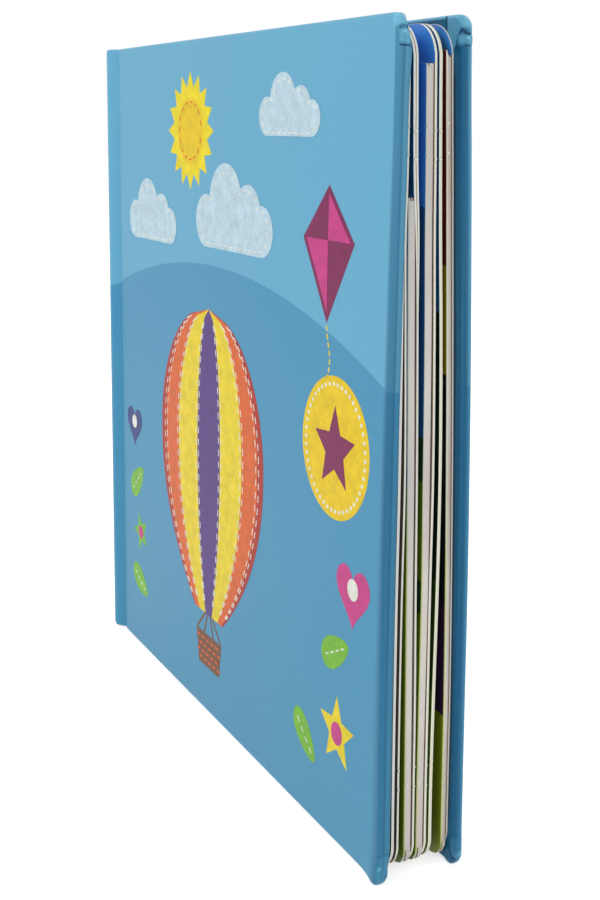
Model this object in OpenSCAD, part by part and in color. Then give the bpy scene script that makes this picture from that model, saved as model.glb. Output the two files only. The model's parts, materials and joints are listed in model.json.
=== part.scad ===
// A closed pop-up picture book that stands on its tail. Its card pages are bound in a
// hard case: three greyboards in one printed wrap, with a groove beside the spine.
// X runs from the spine to the fore-edge, the front cover faces -Y, and Z is up.
// The origin is the centre of the whole book's box, at the tail.

/* [Case] */
// Height of the covers and the spine
cover_h = 195; // [180:1:215]
// Width of a cover from the hinge crease to the fore-edge
cover_w = 178.7; // [160:0.1:200]
// Thickness of the greyboards
board_t = 2.4; // [1.8:0.1:3]
// Thickness of the printed wrap
wrap_t = 0.25; // [0.2:0.05:0.4]
// Width of the wrap that is turned in over a board's inner face
turn_in = 15; // [10:1:20]
// Thickness of the page that is pasted inside each cover
pastedown_t = 0.4; // [0.3:0.05:0.6]
// Rounding of the wrapped board edges
edge_r = 0.9; // [0.5:0.1:1.1]
// Rounding of the cover's outer corners, seen from the front
corner_r = 3.5; // [1:0.1:4]

/* [Joint and spine] */
// Width of the joint from the cover's crease to the back of the spine
joint_w = 8.3; // [8:0.1:12]
// How far the spine stands proud of each cover
shoulder_rise = 1.5; // [0.8:0.1:2]
// Rounding of the spine's shoulders
shoulder_r = 1.25; // [1:0.05:1.5]
// Depth of the groove below the cover's face
groove_depth = 1.2; // [0.6:0.1:1.6]
// Width of the flat bottom of the groove
groove_floor = 1.2; // [0.8:0.1:2]
// Thickness of the joint where wrap and lining lie together
joint_t = 0.5; // [0.4:0.05:0.8]
// Gap at the crease, between the joint and the cover's near edge
crease_gap = 0.5; // [0.45:0.05:0.7]
// Height of each hinge line above the cover's face
hinge_lift = 0.1; // [0.1:0.05:0.3]

/* [Pages] */
// Thickness of a page card
leaf_t = 0.5; // [0.4:0.05:0.7]
// How far the covers stand out past the pages at the fore-edge
overhang = 2.8; // [2:0.1:5]
// How far the covers stand out past the pages at the head and the tail
overhang_ends = 2; // [1.5:0.1:5]
// Rounding of the page corners at the fore-edge
page_corner_r = 8; // [4:0.5:14]
// Thickness of the spine wall that the page folds make
fold_wall = 1.5; // [1:0.1:2]
// Ease between cards that lie on each other
ease = 0.3; // [0.2:0.05:0.4]

/* [Flaps] */
// Thickness of a folded flap
flap_t = 1.75; // [1.4:0.05:2.2]
// Thickness of the card that a flap is folded from
flap_ply = 0.6; // [0.4:0.05:0.65]
// Thickness of the last flap
last_flap_t = 0.95; // [0.8:0.05:1.2]
// Card of the last flap
last_ply = 0.35; // [0.25:0.05:0.38]
// How far the first flap ends below the page's head
flap_1_drop = 37.9; // [10:0.1:80]
// How far the second flap ends below the page's head
flap_2_drop = 8.6; // [2:0.1:40]
// How far the last flap ends below the page's head
flap_3_drop = 5.6; // [2:0.1:40]
// Rounding of a flap's head corner, which is cut nearly square
flap_corner_r = 0.8; // [0.5:0.1:4]
// Distance from the fold wall to where flaps and pop-ups are pasted
gutter = 6; // [3:0.5:15]
// Width of a flap's pasted strip
paste_w = 8; // [5:0.5:15]

/* [Pop-ups] */
// Thickness of a pop-up that is folded flat
popup_t = 0.7; // [0.6:0.05:1]
// Paper of the pop-ups
popup_ply = 0.3; // [0.2:0.02:0.34]
// Reach of the folded pop-ups from the gutter towards the fore-edge
popup_reach = 118; // [60:1:140]
// Height of the pop-ups
popup_h = 150; // [80:1:165]

/* [Print on the front] */
// Thickness of a printed field
ink_t = 0.06; // [0.04:0.01:0.1]
// Radius of the hill line between the pale sky and the blue ground
hill_r = 270; // [200:5:400]
// Distance of the hill's top from the crease
hill_u = 80; // [60:1:110]
// Distance of the hill's top from the head
hill_drop = 63.5; // [50:0.5:80]
// Radius of the round yellow badge
badge_r = 17; // [12:0.5:22]
// Distance of the badge's centre from the fore-edge
badge_edge = 24.6; // [24:0.1:40]
// Distance of the badge's centre from the head
badge_drop = 99.4; // [90:0.1:110]
// Half width of the balloon's envelope
balloon_r = 38; // [25:1:42]
// Distance of the balloon's middle from the crease
balloon_u = 76; // [60:1:90]
// Height of the balloon's widest line above the tail
balloon_v = 79; // [70:1:85]
// Radius of the sun
sun_r = 17; // [10:0.5:20]
// Distance of the sun's centre from the crease
sun_u = 62; // [45:1:80]
// Distance of the sun's centre from the head
sun_drop = 26; // [24:1:32]
// Half width of the kite
kite_r = 13; // [8:0.5:16]
// Distance of the kite's middle from the fore-edge
kite_edge = 30; // [20:1:40]
// Distance of the kite's middle from the head
kite_drop = 51; // [40:1:54]

/* [Hidden] */

// Gaps of the six spreads, from the front: what each holds, and the ease around it.
spread_gap = [popup_t + 2 * ease, 2 * ease, flap_t + 2 * ease,
    popup_t + flap_t + 3 * ease, popup_t + 2 * ease, popup_t + last_flap_t + 3 * ease];
leaves = len(spread_gap) - 1;
function sum_to(list, n) = n <= 0 ? 0 : list[n - 1] + sum_to(list, n - 1);
block_t = sum_to(spread_gap, leaves + 1) + leaves * leaf_t;
edge_t = board_t + 2 * wrap_t;
half_t = block_t / 2 + pastedown_t + edge_t;
spine_half = half_t + shoulder_rise;
total_w = cover_w + joint_w;
back_x = -total_w / 2;
near_x = back_x + joint_w;
fore_x = total_w / 2;
inner_x = back_x + wrap_t + board_t;
page_back_x = inner_x + wrap_t;
page_fore_x = fore_x - overhang;
page_foot = overhang_ends;
page_head = cover_h - overhang_ends;
gutter_x = page_back_x + fold_wall + gutter;
function gap_y(n) = -block_t / 2 + sum_to(spread_gap, n) + n * leaf_t;
arc_n = 6;
page_arc_n = 10;
curve_n = 24;
// How far a cutting shape runs past what it cuts.
past = 1;

// Points of an arc about [cx, cy] from angle a0 to a1.
function arc(cx, cy, r, a0, a1, n) =
    [for (i = [0:n]) [cx + r * cos(a0 + (a1 - a0) * i / n),
        cy + r * sin(a0 + (a1 - a0) * i / n)]];
// A rectangle whose four corners are rounded.
function round_box(x0, x1, y0, y1, r) = concat(
    arc(x1 - r, y0 + r, r, -90, 0, arc_n), arc(x1 - r, y1 - r, r, 0, 90, arc_n),
    arc(x0 + r, y1 - r, r, 90, 180, arc_n), arc(x0 + r, y0 + r, r, 180, 270, arc_n));
// The outline of a page, square at the spine and round at the fore-edge, where rf is the
// radius at the foot and rh the one at the head.
function page_outline(x0, x1, z0, z1, rf, rh) = concat([[x0, z0]],
    arc(x1 - rf, z0 + rf, rf, -90, 0, page_arc_n),
    arc(x1 - rh, z1 - rh, rh, 0, 90, page_arc_n),
    [[x0, z1]]);

// A prism from y0 to y1 of an outline that is drawn in X and Z.
module across(y0, y1) {
    translate([0, y1, 0]) rotate([90, 0, 0]) linear_extrude(y1 - y0) children();
}
// A prism from x0 to x1 of an outline that is drawn in Y and Z.
module along(x0, x1) {
    translate([x0, 0, 0]) rotate([90, 0, 90]) linear_extrude(x1 - x0) children();
}
// A plate with rounded long edges on all four sides and rounded corners.
module slab(x0, x1, y0, y1, z0, z1, er, cr) {
    intersection() {
        translate([0, 0, z0 - past]) linear_extrude(z1 - z0 + 2 * past)
            polygon(round_box(x0, x1, y0, y1, er));
        along(x0 - past, x1 + past) polygon(round_box(y0, y1, z0, z1, er));
        across(y0 - past, y1 + past) polygon(round_box(x0, x1, z0, z1, cr));
    }
}

// The front cover's pieces. The back cover is the same case mirrored.
module cover_board() {
    slab(near_x + wrap_t, fore_x - wrap_t, -half_t + wrap_t, -half_t + wrap_t + board_t,
        wrap_t, cover_h - wrap_t, edge_r - wrap_t, corner_r - wrap_t);
}
module turn_in_window(y0, y1) {
    translate([near_x + wrap_t, y0, turn_in])
        cube([cover_w - wrap_t - turn_in, y1 - y0, cover_h - 2 * turn_in]);
}
module cover_wrap() {
    difference() {
        slab(near_x, fore_x, -half_t, -half_t + edge_t, 0, cover_h, edge_r, corner_r);
        cover_board();
        turn_in_window(-half_t + wrap_t + board_t / 2, -half_t + edge_t + past);
    }
}
module cover_pastedown() {
    paste_y = -half_t + edge_t;
    across(paste_y, paste_y + pastedown_t)
        polygon(page_outline(near_x + wrap_t, page_fore_x, page_foot, page_head,
            page_corner_r, page_corner_r));
    turn_in_window(paste_y - wrap_t, paste_y);
}
module on_back() {
    mirror([0, 1, 0]) children();
}

// Half of the spine wrap's section, from the crease around one shoulder to the back.
groove_y = half_t - groove_depth;
end_x = near_x - crease_gap;
// The inner face of the joint bends a little before the outer one.
inner_bend = joint_t / 3;
function joint_outer() = concat(
    [[end_x, -groove_y], [end_x - groove_floor, -groove_y], [inner_x, -spine_half]],
    arc(back_x + shoulder_r, -spine_half + shoulder_r, shoulder_r, 270, 180, arc_n));
function joint_inner() = [[inner_x, -spine_half + wrap_t],
    [end_x - groove_floor - inner_bend, -groove_y + joint_t],
    [end_x, -groove_y + joint_t]];
function flip(points) =
    [for (i = [len(points) - 1:-1:0]) [points[i][0], -points[i][1]]];
module spine_slab() {
    slab(back_x + wrap_t, inner_x, -spine_half + wrap_t, spine_half - wrap_t,
        wrap_t, cover_h - wrap_t, shoulder_r - wrap_t, shoulder_r - wrap_t);
}
module spine_board() {
    color([0.66, 0.60, 0.52]) spine_slab();
}
// The wrap covers the spine board, turns in at its head and foot, and runs on each
// side as the joint down into the groove.
module spine_wrap() {
    color([0.33, 0.63, 0.79]) difference() {
        union() {
            linear_extrude(cover_h)
                polygon(concat(joint_outer(), flip(joint_outer()),
                    flip(joint_inner()), joint_inner()));
            for (z = [0, cover_h - turn_in])
                translate([inner_x - wrap_t, -spine_half + 2 * wrap_t, z])
                    cube([2 * wrap_t, 2 * spine_half - 4 * wrap_t, turn_in]);
        }
        spine_slab();
    }
}

// The page block: five cards and the fold wall that joins them at the spine.
// Each gap between two cards ends at the wall in a round fold.
module spread_space(n) {
    g = spread_gap[n];
    y0 = gap_y(n);
    x0 = page_back_x + fold_wall;
    polygon(concat([[fore_x + past, y0], [fore_x + past, y0 + g]],
        arc(x0 + g / 2, y0 + g / 2, g / 2, 90, 270, arc_n)));
}
module page_block() {
    color([0.93, 0.92, 0.88]) intersection() {
        linear_extrude(cover_h) difference() {
            translate([page_back_x, -block_t / 2])
                square([page_fore_x - page_back_x, block_t]);
            for (n = [1:leaves - 1]) spread_space(n);
            translate([page_back_x + fold_wall, -block_t / 2 - past])
                square([total_w, spread_gap[0] + past]);
            translate([page_back_x + fold_wall, gap_y(leaves)])
                square([total_w, spread_gap[leaves] + past]);
        }
        across(-half_t, half_t)
            polygon(page_outline(page_back_x, page_fore_x, page_foot, page_head,
                page_corner_r, page_corner_r));
    }
}

// A card folded once: two plies from the fold at fold_x to the free edges at free_x.
function fold_section(fold_x, free_x, y0, t, ply) =
    let (s = fold_x > free_x ? 1 : -1, r = t / 2, ri = t / 2 - ply, yc = y0 + r)
    concat([[free_x, y0]],
        [for (p = arc(0, 0, r, -90, 90, arc_n)) [fold_x - s * r + s * p[0], yc + p[1]]],
        [[free_x, y0 + t], [free_x, y0 + t - ply]],
        [for (p = arc(0, 0, ri, 90, -90, arc_n)) [fold_x - s * r + s * p[0], yc + p[1]]],
        [[free_x, y0 + ply]]);
// A flap: folded at the fore-edge, and pasted by a strip to the card at card_y.
module flap(y0, t, ply, drop, card_y) {
    behind = card_y > y0;
    strip_y0 = behind ? y0 + t - ply : card_y;
    strip_y1 = behind ? card_y : y0 + ply;
    intersection() {
        linear_extrude(cover_h) {
            polygon(fold_section(page_fore_x, gutter_x, y0, t, ply));
            translate([gutter_x, strip_y0]) square([paste_w, strip_y1 - strip_y0]);
        }
        across(-half_t, half_t)
            polygon(page_outline(page_back_x, page_fore_x, page_foot, page_head - drop,
                page_corner_r, flap_corner_r));
    }
}
flap_color = [0.90, 0.88, 0.82];
module flap_1() {
    color(flap_color)
        flap(gap_y(2) + ease, flap_t, flap_ply, flap_1_drop, gap_y(2));
}
module flap_2() {
    color(flap_color)
        flap(gap_y(4) - leaf_t - ease - flap_t, flap_t, flap_ply, flap_2_drop,
            gap_y(4) - leaf_t);
}
// The last flap is pasted to the page inside the back cover.
module flap_3() {
    color(flap_color)
        flap(block_t / 2 - ease - last_flap_t, last_flap_t, last_ply, flap_3_drop,
            block_t / 2);
}

// A pop-up, folded flat at the gutter. Its outline is half of the figure that opens.
module popup(n, outline) {
    y0 = gap_y(n);
    intersection() {
        linear_extrude(cover_h)
            polygon(fold_section(gutter_x, gutter_x + popup_reach, y0, popup_t,
                popup_ply));
        across(-half_t, half_t)
            translate([gutter_x, cover_h / 2]) polygon(outline);
    }
}
// Half outlines: lobes along a half ellipse, from the foot to the head.
function half_figure(lobes, depth) = concat([[0, -popup_h / 2]],
    [for (i = [0:curve_n * 2])
        let (a = -90 + 180 * i / (curve_n * 2),
            k = 1 - depth * abs(sin(lobes * (a + 90) / 2)))
        [popup_reach * k * cos(a), popup_h / 2 * k * sin(a)]],
    [[0, popup_h / 2]]);
module popup_1() {
    color([0.95, 0.62, 0.20]) popup(0, half_figure(5, 0.25));
}
module popup_2() {
    color([0.36, 0.62, 0.20]) popup(3, half_figure(9, 0.15));
}
module popup_3() {
    color([0.78, 0.20, 0.22]) popup(4, half_figure(3, 0.3));
}
module popup_4() {
    color([0.45, 0.50, 0.10]) popup(5, half_figure(7, 0.2));
}

module front_board() {
    color([0.66, 0.60, 0.52]) cover_board();
}
module front_wrap() {
    color([0.33, 0.62, 0.78]) cover_wrap();
}
module front_pastedown() {
    color([0.94, 0.94, 0.92]) cover_pastedown();
}
module back_board() {
    color([0.66, 0.60, 0.52]) on_back() cover_board();
}
module back_wrap() {
    color([0.33, 0.62, 0.78]) on_back() cover_wrap();
}
module back_pastedown() {
    color([0.30, 0.56, 0.80]) on_back() cover_pastedown();
}

// Printed fields lie on the front face. They are drawn in u, the distance from the
// crease, and v, the height above the tail.
module ink(c) {
    color(c) translate([near_x, -half_t, 0]) rotate([90, 0, 0]) linear_extrude(ink_t)
        children();
}
print_margin = edge_r + 5 * ink_t;
print_corner_r = corner_r - edge_r;
sun_v = cover_h - sun_drop;
badge_u = cover_w - badge_edge;
badge_v = cover_h - badge_drop;
hill_v = cover_h - hill_drop - hill_r;
kite_u = cover_w - kite_edge;
kite_v = cover_h - kite_drop;
// The kite's lower half is longer than its upper half.
kite_stretch = 1.5;
// Rays of the sun, and the radius between them as a share of the sun's radius.
ray_count = 16;
ray_root = 0.74;
// Clouds: distance from the crease, distance from the head, and size.
cloud_list = [[30, 54, 12], [92, 51, 15], [126, 22, 10]];
// Puffs of a cloud of size 1: across, up, and radius.
puff_list = [[-1.2, 0, 0.5], [-0.3, 0.35, 0.75], [0.7, 0.2, 0.55], [1.3, -0.05, 0.45]];
// The cloud's flat base: half width, bottom and top.
cloud_base = [1.3, -0.5, 0.4];
// Leaves: distance from the crease, height above the tail, and turn.
leaf_list = [[14, 55, 40], [16, 22, -25], [156, 47, 25], [140, 20, -40]];
leaf_len = 15;
function round_outline(u, v, r) = arc(u, v, r, 0, 360 * (1 - 1 / curve_n), curve_n - 1);
// Half width of the balloon at height t, from -1 at the mouth to 1 at the crown.
mouth_taper = 0.72;
mouth_power = 2.2;
function balloon_w(t) = t > 0 ? sqrt(1 - t * t) : 1 - mouth_taper * pow(-t, mouth_power);
balloon_up = balloon_r * 1.05;
balloon_down = balloon_r * 1.3;
function balloon_point(k, t) = [balloon_u + k * balloon_r * balloon_w(t),
    balloon_v + (t > 0 ? t * balloon_up : t * balloon_down)];
function gore(k0, k1) = concat(
    [for (i = [0:curve_n]) balloon_point(k1, -1 + 2 * i / curve_n)],
    [for (i = [1:curve_n]) balloon_point(k0, 1 - 2 * i / curve_n)]);
// Edges of the gores as shares of the half width, closer at the rim.
gore_count = 7;
function gore_edge(i) = sin(-90 + 180 * i / gore_count);
module balloon_outline() {
    polygon(gore(-1, 1));
}
module sun_outline() {
    polygon([for (i = [0:2 * ray_count - 1])
        let (r = i % 2 == 0 ? sun_r : sun_r * ray_root, a = i * 180 / ray_count)
        [sun_u + r * cos(a), sun_v + r * sin(a)]]);
}
module cloud(c) {
    size = c[2];
    translate([c[0], cover_h - c[1]]) {
        translate([-cloud_base[0], cloud_base[1]] * size)
            square([2 * cloud_base[0], cloud_base[2] - cloud_base[1]] * size);
        for (p = puff_list)
            polygon(round_outline(p[0] * size, p[1] * size, p[2] * size));
    }
}
module kite_outline() {
    polygon([[kite_u, kite_v - kite_stretch * kite_r], [kite_u + kite_r, kite_v],
        [kite_u, kite_v + kite_r], [kite_u - kite_r, kite_v]]);
}
module badge_outline() {
    polygon(round_outline(badge_u, badge_v, badge_r));
}
module gores(list, c) {
    ink(c) for (i = list) polygon(gore(gore_edge(i), gore_edge(i + 1)));
}
module print_sky() {
    head_v = cover_h - print_margin;
    ink([0.47, 0.71, 0.82]) difference() {
        polygon(concat(
            [for (i = [0:curve_n])
                let (u = print_margin
                    + (cover_w - 2 * print_margin) * i / curve_n)
                [u, hill_v + sqrt(hill_r * hill_r - (u - hill_u) * (u - hill_u))]],
            arc(cover_w - print_margin - print_corner_r, head_v - print_corner_r,
                print_corner_r, 0, 90, arc_n),
            arc(print_margin + print_corner_r, head_v - print_corner_r,
                print_corner_r, 90, 180, arc_n)));
        sun_outline();
        for (c = cloud_list) cloud(c);
        kite_outline();
        balloon_outline();
        badge_outline();
    }
}
module print_sun() {
    ink([0.97, 0.87, 0.10]) difference() {
        sun_outline();
        for (c = cloud_list) cloud(c);
    }
}
module print_clouds() {
    ink([0.85, 0.93, 0.96]) for (c = cloud_list) cloud(c);
}
module print_kite() {
    ink([0.50, 0.13, 0.38]) difference() {
        kite_outline();
        for (c = cloud_list) cloud(c);
    }
}
// The badge's pale ring: its distance from the rim, and its width.
ring_inset = 1.6;
ring_w = 0.7;
ring_out = badge_r - ring_inset;
ring_in = ring_out - ring_w;
module ring_outline() {
    difference() {
        polygon(round_outline(badge_u, badge_v, ring_out));
        polygon(round_outline(badge_u, badge_v, ring_in));
    }
}
module print_badge() {
    ink([0.98, 0.83, 0.10]) difference() {
        badge_outline();
        ring_outline();
    }
}
module print_badge_ring() {
    ink([0.97, 0.96, 0.90]) ring_outline();
}
module print_gores_red() {
    gores([0, 6], [0.78, 0.20, 0.12]);
}
module print_gores_orange() {
    gores([1, 5], [0.93, 0.47, 0.15]);
}
module print_gores_yellow() {
    gores([2, 4], [0.97, 0.83, 0.15]);
}
module print_gores_purple() {
    gores([3], [0.38, 0.22, 0.55]);
}
// The basket, as shares of the balloon's half width.
basket_drop = 0.42;
basket_h = 0.26;
basket_foot = 0.2;
basket_rim = 0.25;
module print_basket() {
    basket_v = balloon_v - balloon_down - balloon_r * basket_drop;
    ink([0.50, 0.30, 0.16]) translate([balloon_u, basket_v])
        polygon([[-basket_foot, 0] * balloon_r, [basket_foot, 0] * balloon_r,
            [basket_rim, basket_h] * balloon_r, [-basket_rim, basket_h] * balloon_r]);
}
module print_leaves() {
    ink([0.50, 0.76, 0.20]) for (l = leaf_list)
        translate([l[0], l[1]]) rotate(l[2]) polygon(
            [for (i = [0:curve_n - 1]) let (a = i * 360 / curve_n)
                [leaf_len / 2 * cos(a), leaf_len / 4 * sin(a) * (1 - 0.3 * cos(a))]]);
}

page_block();
flap_1();
flap_2();
flap_3();
popup_1();
popup_2();
popup_3();
popup_4();
spine_board();
spine_wrap();
front_board();
front_wrap();
front_pastedown();
back_board();
back_wrap();
back_pastedown();
print_sky();
print_sun();
print_clouds();
print_kite();
print_badge();
print_badge_ring();
print_gores_red();
print_gores_orange();
print_gores_yellow();
print_gores_purple();
print_basket();
print_leaves();
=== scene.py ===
# %% [markdown]
# # A pop-up picture book that stands on its tail
#
# The book is a case of three greyboards in one laminated print, with card pages, folded
# lift flaps and flat pop-ups inside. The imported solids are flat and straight. A book that
# has stood in a shop isn't: its covers and pages bow a little, by a different amount at
# each height. So each solid gets a dressed piece here, bent by measured amounts, with
# rounded edges, folds, print and card edges. Lengths are in millimetres until a mesh is made.

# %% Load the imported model
import json
import math
import random

import bmesh
import bpy
import numpy as np
from mathutils import Vector
from mathutils.geometry import delaunay_2d_cdt
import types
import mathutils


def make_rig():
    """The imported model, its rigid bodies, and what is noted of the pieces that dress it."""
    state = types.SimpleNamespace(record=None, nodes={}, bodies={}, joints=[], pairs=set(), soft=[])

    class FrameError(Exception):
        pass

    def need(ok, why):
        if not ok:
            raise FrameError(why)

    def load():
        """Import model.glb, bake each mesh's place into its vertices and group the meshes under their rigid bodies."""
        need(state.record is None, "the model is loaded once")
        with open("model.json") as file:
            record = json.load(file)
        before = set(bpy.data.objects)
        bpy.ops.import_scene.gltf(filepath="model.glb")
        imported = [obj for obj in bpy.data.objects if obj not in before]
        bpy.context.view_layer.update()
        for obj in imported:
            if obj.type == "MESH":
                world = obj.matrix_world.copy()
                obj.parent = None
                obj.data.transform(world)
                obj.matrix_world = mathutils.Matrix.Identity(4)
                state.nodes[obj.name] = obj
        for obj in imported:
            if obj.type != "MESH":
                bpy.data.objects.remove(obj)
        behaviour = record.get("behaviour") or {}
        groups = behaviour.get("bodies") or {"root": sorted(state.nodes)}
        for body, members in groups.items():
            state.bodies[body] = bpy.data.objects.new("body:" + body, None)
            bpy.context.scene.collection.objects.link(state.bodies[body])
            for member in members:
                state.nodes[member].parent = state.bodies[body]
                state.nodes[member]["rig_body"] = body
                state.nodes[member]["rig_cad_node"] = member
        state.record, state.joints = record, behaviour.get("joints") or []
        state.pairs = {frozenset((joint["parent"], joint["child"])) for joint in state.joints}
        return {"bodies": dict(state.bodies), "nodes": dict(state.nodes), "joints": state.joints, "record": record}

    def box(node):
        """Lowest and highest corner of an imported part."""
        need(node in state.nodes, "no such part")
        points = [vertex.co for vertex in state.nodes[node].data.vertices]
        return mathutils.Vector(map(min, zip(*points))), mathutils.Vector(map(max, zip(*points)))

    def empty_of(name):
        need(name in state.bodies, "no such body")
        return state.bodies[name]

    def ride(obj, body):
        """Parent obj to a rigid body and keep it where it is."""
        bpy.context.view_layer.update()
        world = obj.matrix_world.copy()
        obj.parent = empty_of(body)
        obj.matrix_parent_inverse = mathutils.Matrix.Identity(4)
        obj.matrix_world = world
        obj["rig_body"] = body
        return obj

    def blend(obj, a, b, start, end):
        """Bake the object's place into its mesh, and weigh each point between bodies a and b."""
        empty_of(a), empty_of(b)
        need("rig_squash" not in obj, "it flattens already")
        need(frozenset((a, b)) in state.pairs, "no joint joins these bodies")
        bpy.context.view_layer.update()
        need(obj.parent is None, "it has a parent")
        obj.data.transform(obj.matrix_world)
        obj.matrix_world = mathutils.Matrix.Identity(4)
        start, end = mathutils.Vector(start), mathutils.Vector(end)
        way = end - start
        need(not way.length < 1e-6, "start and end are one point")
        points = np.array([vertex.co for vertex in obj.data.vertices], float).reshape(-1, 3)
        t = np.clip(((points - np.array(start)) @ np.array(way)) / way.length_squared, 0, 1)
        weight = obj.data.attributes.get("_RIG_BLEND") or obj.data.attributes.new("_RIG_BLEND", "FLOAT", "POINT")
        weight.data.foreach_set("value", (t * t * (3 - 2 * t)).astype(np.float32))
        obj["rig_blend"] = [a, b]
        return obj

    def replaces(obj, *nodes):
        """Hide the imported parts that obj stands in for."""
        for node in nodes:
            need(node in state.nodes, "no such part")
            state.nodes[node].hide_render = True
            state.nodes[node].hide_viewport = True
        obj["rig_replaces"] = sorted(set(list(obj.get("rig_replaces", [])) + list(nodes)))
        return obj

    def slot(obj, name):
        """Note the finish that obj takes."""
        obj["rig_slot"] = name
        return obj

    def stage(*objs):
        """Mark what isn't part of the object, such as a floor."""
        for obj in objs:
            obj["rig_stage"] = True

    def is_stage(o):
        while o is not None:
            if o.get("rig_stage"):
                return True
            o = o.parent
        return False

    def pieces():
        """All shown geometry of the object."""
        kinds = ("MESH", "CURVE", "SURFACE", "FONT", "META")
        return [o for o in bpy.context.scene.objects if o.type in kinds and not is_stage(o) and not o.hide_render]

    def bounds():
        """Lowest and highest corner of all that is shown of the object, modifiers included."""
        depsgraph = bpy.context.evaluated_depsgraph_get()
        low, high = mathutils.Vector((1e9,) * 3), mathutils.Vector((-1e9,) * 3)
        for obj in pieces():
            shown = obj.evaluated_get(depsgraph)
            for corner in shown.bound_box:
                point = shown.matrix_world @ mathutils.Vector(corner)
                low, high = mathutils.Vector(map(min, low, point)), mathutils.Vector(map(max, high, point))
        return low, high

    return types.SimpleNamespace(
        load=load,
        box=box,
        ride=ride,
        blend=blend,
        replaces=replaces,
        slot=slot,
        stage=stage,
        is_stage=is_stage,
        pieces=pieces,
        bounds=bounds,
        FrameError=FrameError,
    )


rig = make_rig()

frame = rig.load()
cad_low, cad_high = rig.bounds()
MM = 0.001
random.seed(12)


def box_mm(node):
    low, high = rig.box(node)
    return np.array(low) / MM, np.array(high) / MM


cover_low, cover_high = box_mm("front_wrap")
spine_low, spine_high = box_mm("spine_wrap")
pages_low, pages_high = box_mm("page_block")
crease_x, fore_x = cover_low[0], cover_high[0]
face_y, lining_y = cover_low[1], cover_high[1]
cover_w, cover_h = fore_x - crease_x, cover_high[2]
print(f"cover {cover_w:.1f} x {cover_h:.1f} mm, board {lining_y - face_y:.2f} mm with its wrap")

# %% [markdown]
# ## How the covers and pages bow
#
# Looking at the fore-edge, no card is straight from head to tail: each is a slow curve.
# A bend modifier gives one curve for all, and a simulation gives what it likes. The curves
# are instead tables: for each piece, where its middle stands at the fore-edge at ten
# heights. A smooth curve goes through them, and the bow fades out towards the spine, where
# the pages are held. The block leans too, so its fore-edge stands out more at the tail.

# %% Curves through measured places


def smooth_curve(xs, ys):
    xs, ys = np.array(xs, float), np.array(ys, float)
    slopes = np.gradient(ys, xs)

    def at(x):
        x = np.clip(x, xs[0], xs[-1])
        i = np.clip(np.searchsorted(xs, x, side="right") - 1, 0, len(xs) - 2)
        h = xs[i + 1] - xs[i]
        t = (x - xs[i]) / h
        rise = t * t * (3 - 2 * t)
        return (ys[i] + (ys[i + 1] - ys[i]) * rise
                + h * t * (1 - t) * (slopes[i] * (1 - t) - slopes[i + 1] * t))

    return at


HEIGHTS = (0, 16, 40, 64, 93, 126, 148, 159, 178, 195)
# Middle of each piece at the fore-edge, at those heights, and its flat place in the CAD.
BOWS = {
    "front": (-10.275, (-12.1, -11.93, -11.65, -11.25, -10.7, -9.9, -9.35, -9.0, -8.62, -8.45)),
    "leaf_1": (-5.425, (-7.2, -7.14, -6.93, -6.38, -5.58, -5.06, -4.85, -4.55, -4.12, -4.0)),
    "leaf_2": (-4.325, (-5.9, -5.81, -5.59, -5.0, -4.17, -4.14, -4.22, -3.88, -3.62, -3.5)),
    "flap_1": (-2.900, (-3.15, -3.12, -3.05, -2.8, -2.46, -2.49, -2.57, -2.6, -2.6, -2.6)),
    "leaf_3": (-1.475, (-1.75, -1.7, -1.54, -1.35, -1.07, -1.06, -1.25, -1.72, -1.98, -2.1)),
    "flap_2": (0.950, (0.02, 0.12, 0.47, 1.16, 1.63, 1.91, 1.82, 1.83, 1.77, 1.75)),
    "leaf_4": (2.375, (1.4, 1.46, 1.8, 2.39, 3.17, 3.36, 3.21, 3.21, 3.1, 3.05)),
    "leaf_5": (4.175, (2.7, 2.78, 3.32, 4.27, 5.0, 5.04, 4.67, 4.53, 4.34, 4.3)),
    "flap_3": (6.200, (6.48, 6.63, 6.95, 7.28, 7.43, 7.33, 7.08, 6.93, 6.58, 6.43)),
    "back": (10.275, (10.45, 10.6, 10.92, 11.25, 11.4, 11.3, 11.05, 10.9, 10.55, 10.4)),
}
# The page block also leans: its fore-edge stands this far off its flat place, in X.
LEAN = smooth_curve(HEIGHTS, (0.7, 0.72, 0.72, 0.3, -0.1, -0.45, -0.55, -0.54, -0.5, -0.5))
held_x = box_mm("flap_1")[0][0]
BENDS = {name: smooth_curve(HEIGHTS, np.array(ys) - flat)
         for name, (flat, ys) in BOWS.items()}


def bow(kind, x, z):
    """How far a piece stands off its flat place, in Y, at x and height z."""
    start = crease_x if kind in ("front", "back") else held_x
    return BENDS[kind](z) * np.clip((x - start) / (fore_x - start), 0, 1)


print("bow of the front cover at tail and head:",
      [round(float(bow("front", fore_x, z)), 2) for z in (0, cover_h)])

# %% [markdown]
# ## Sheets, boards and folded card from sections
#
# Every part of a book is a sheet: two faces and a thin edge that runs round it. It could be
# a box with a bevel, but a sheet here also turns round the spine or folds back as a flap.
# So a sheet is a row of sections. A section is a slim upright loop between a point on the
# outer face and one on the inner face, with rounded head and tail. Skinning the loops in
# order gives the sheet, and a place on it (along, up, across) is kept as an attribute, so
# that print and paper marks stay put when a cover opens.

# %% The skin over a row of sections
TURNS = (90, 60, 30)


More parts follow.
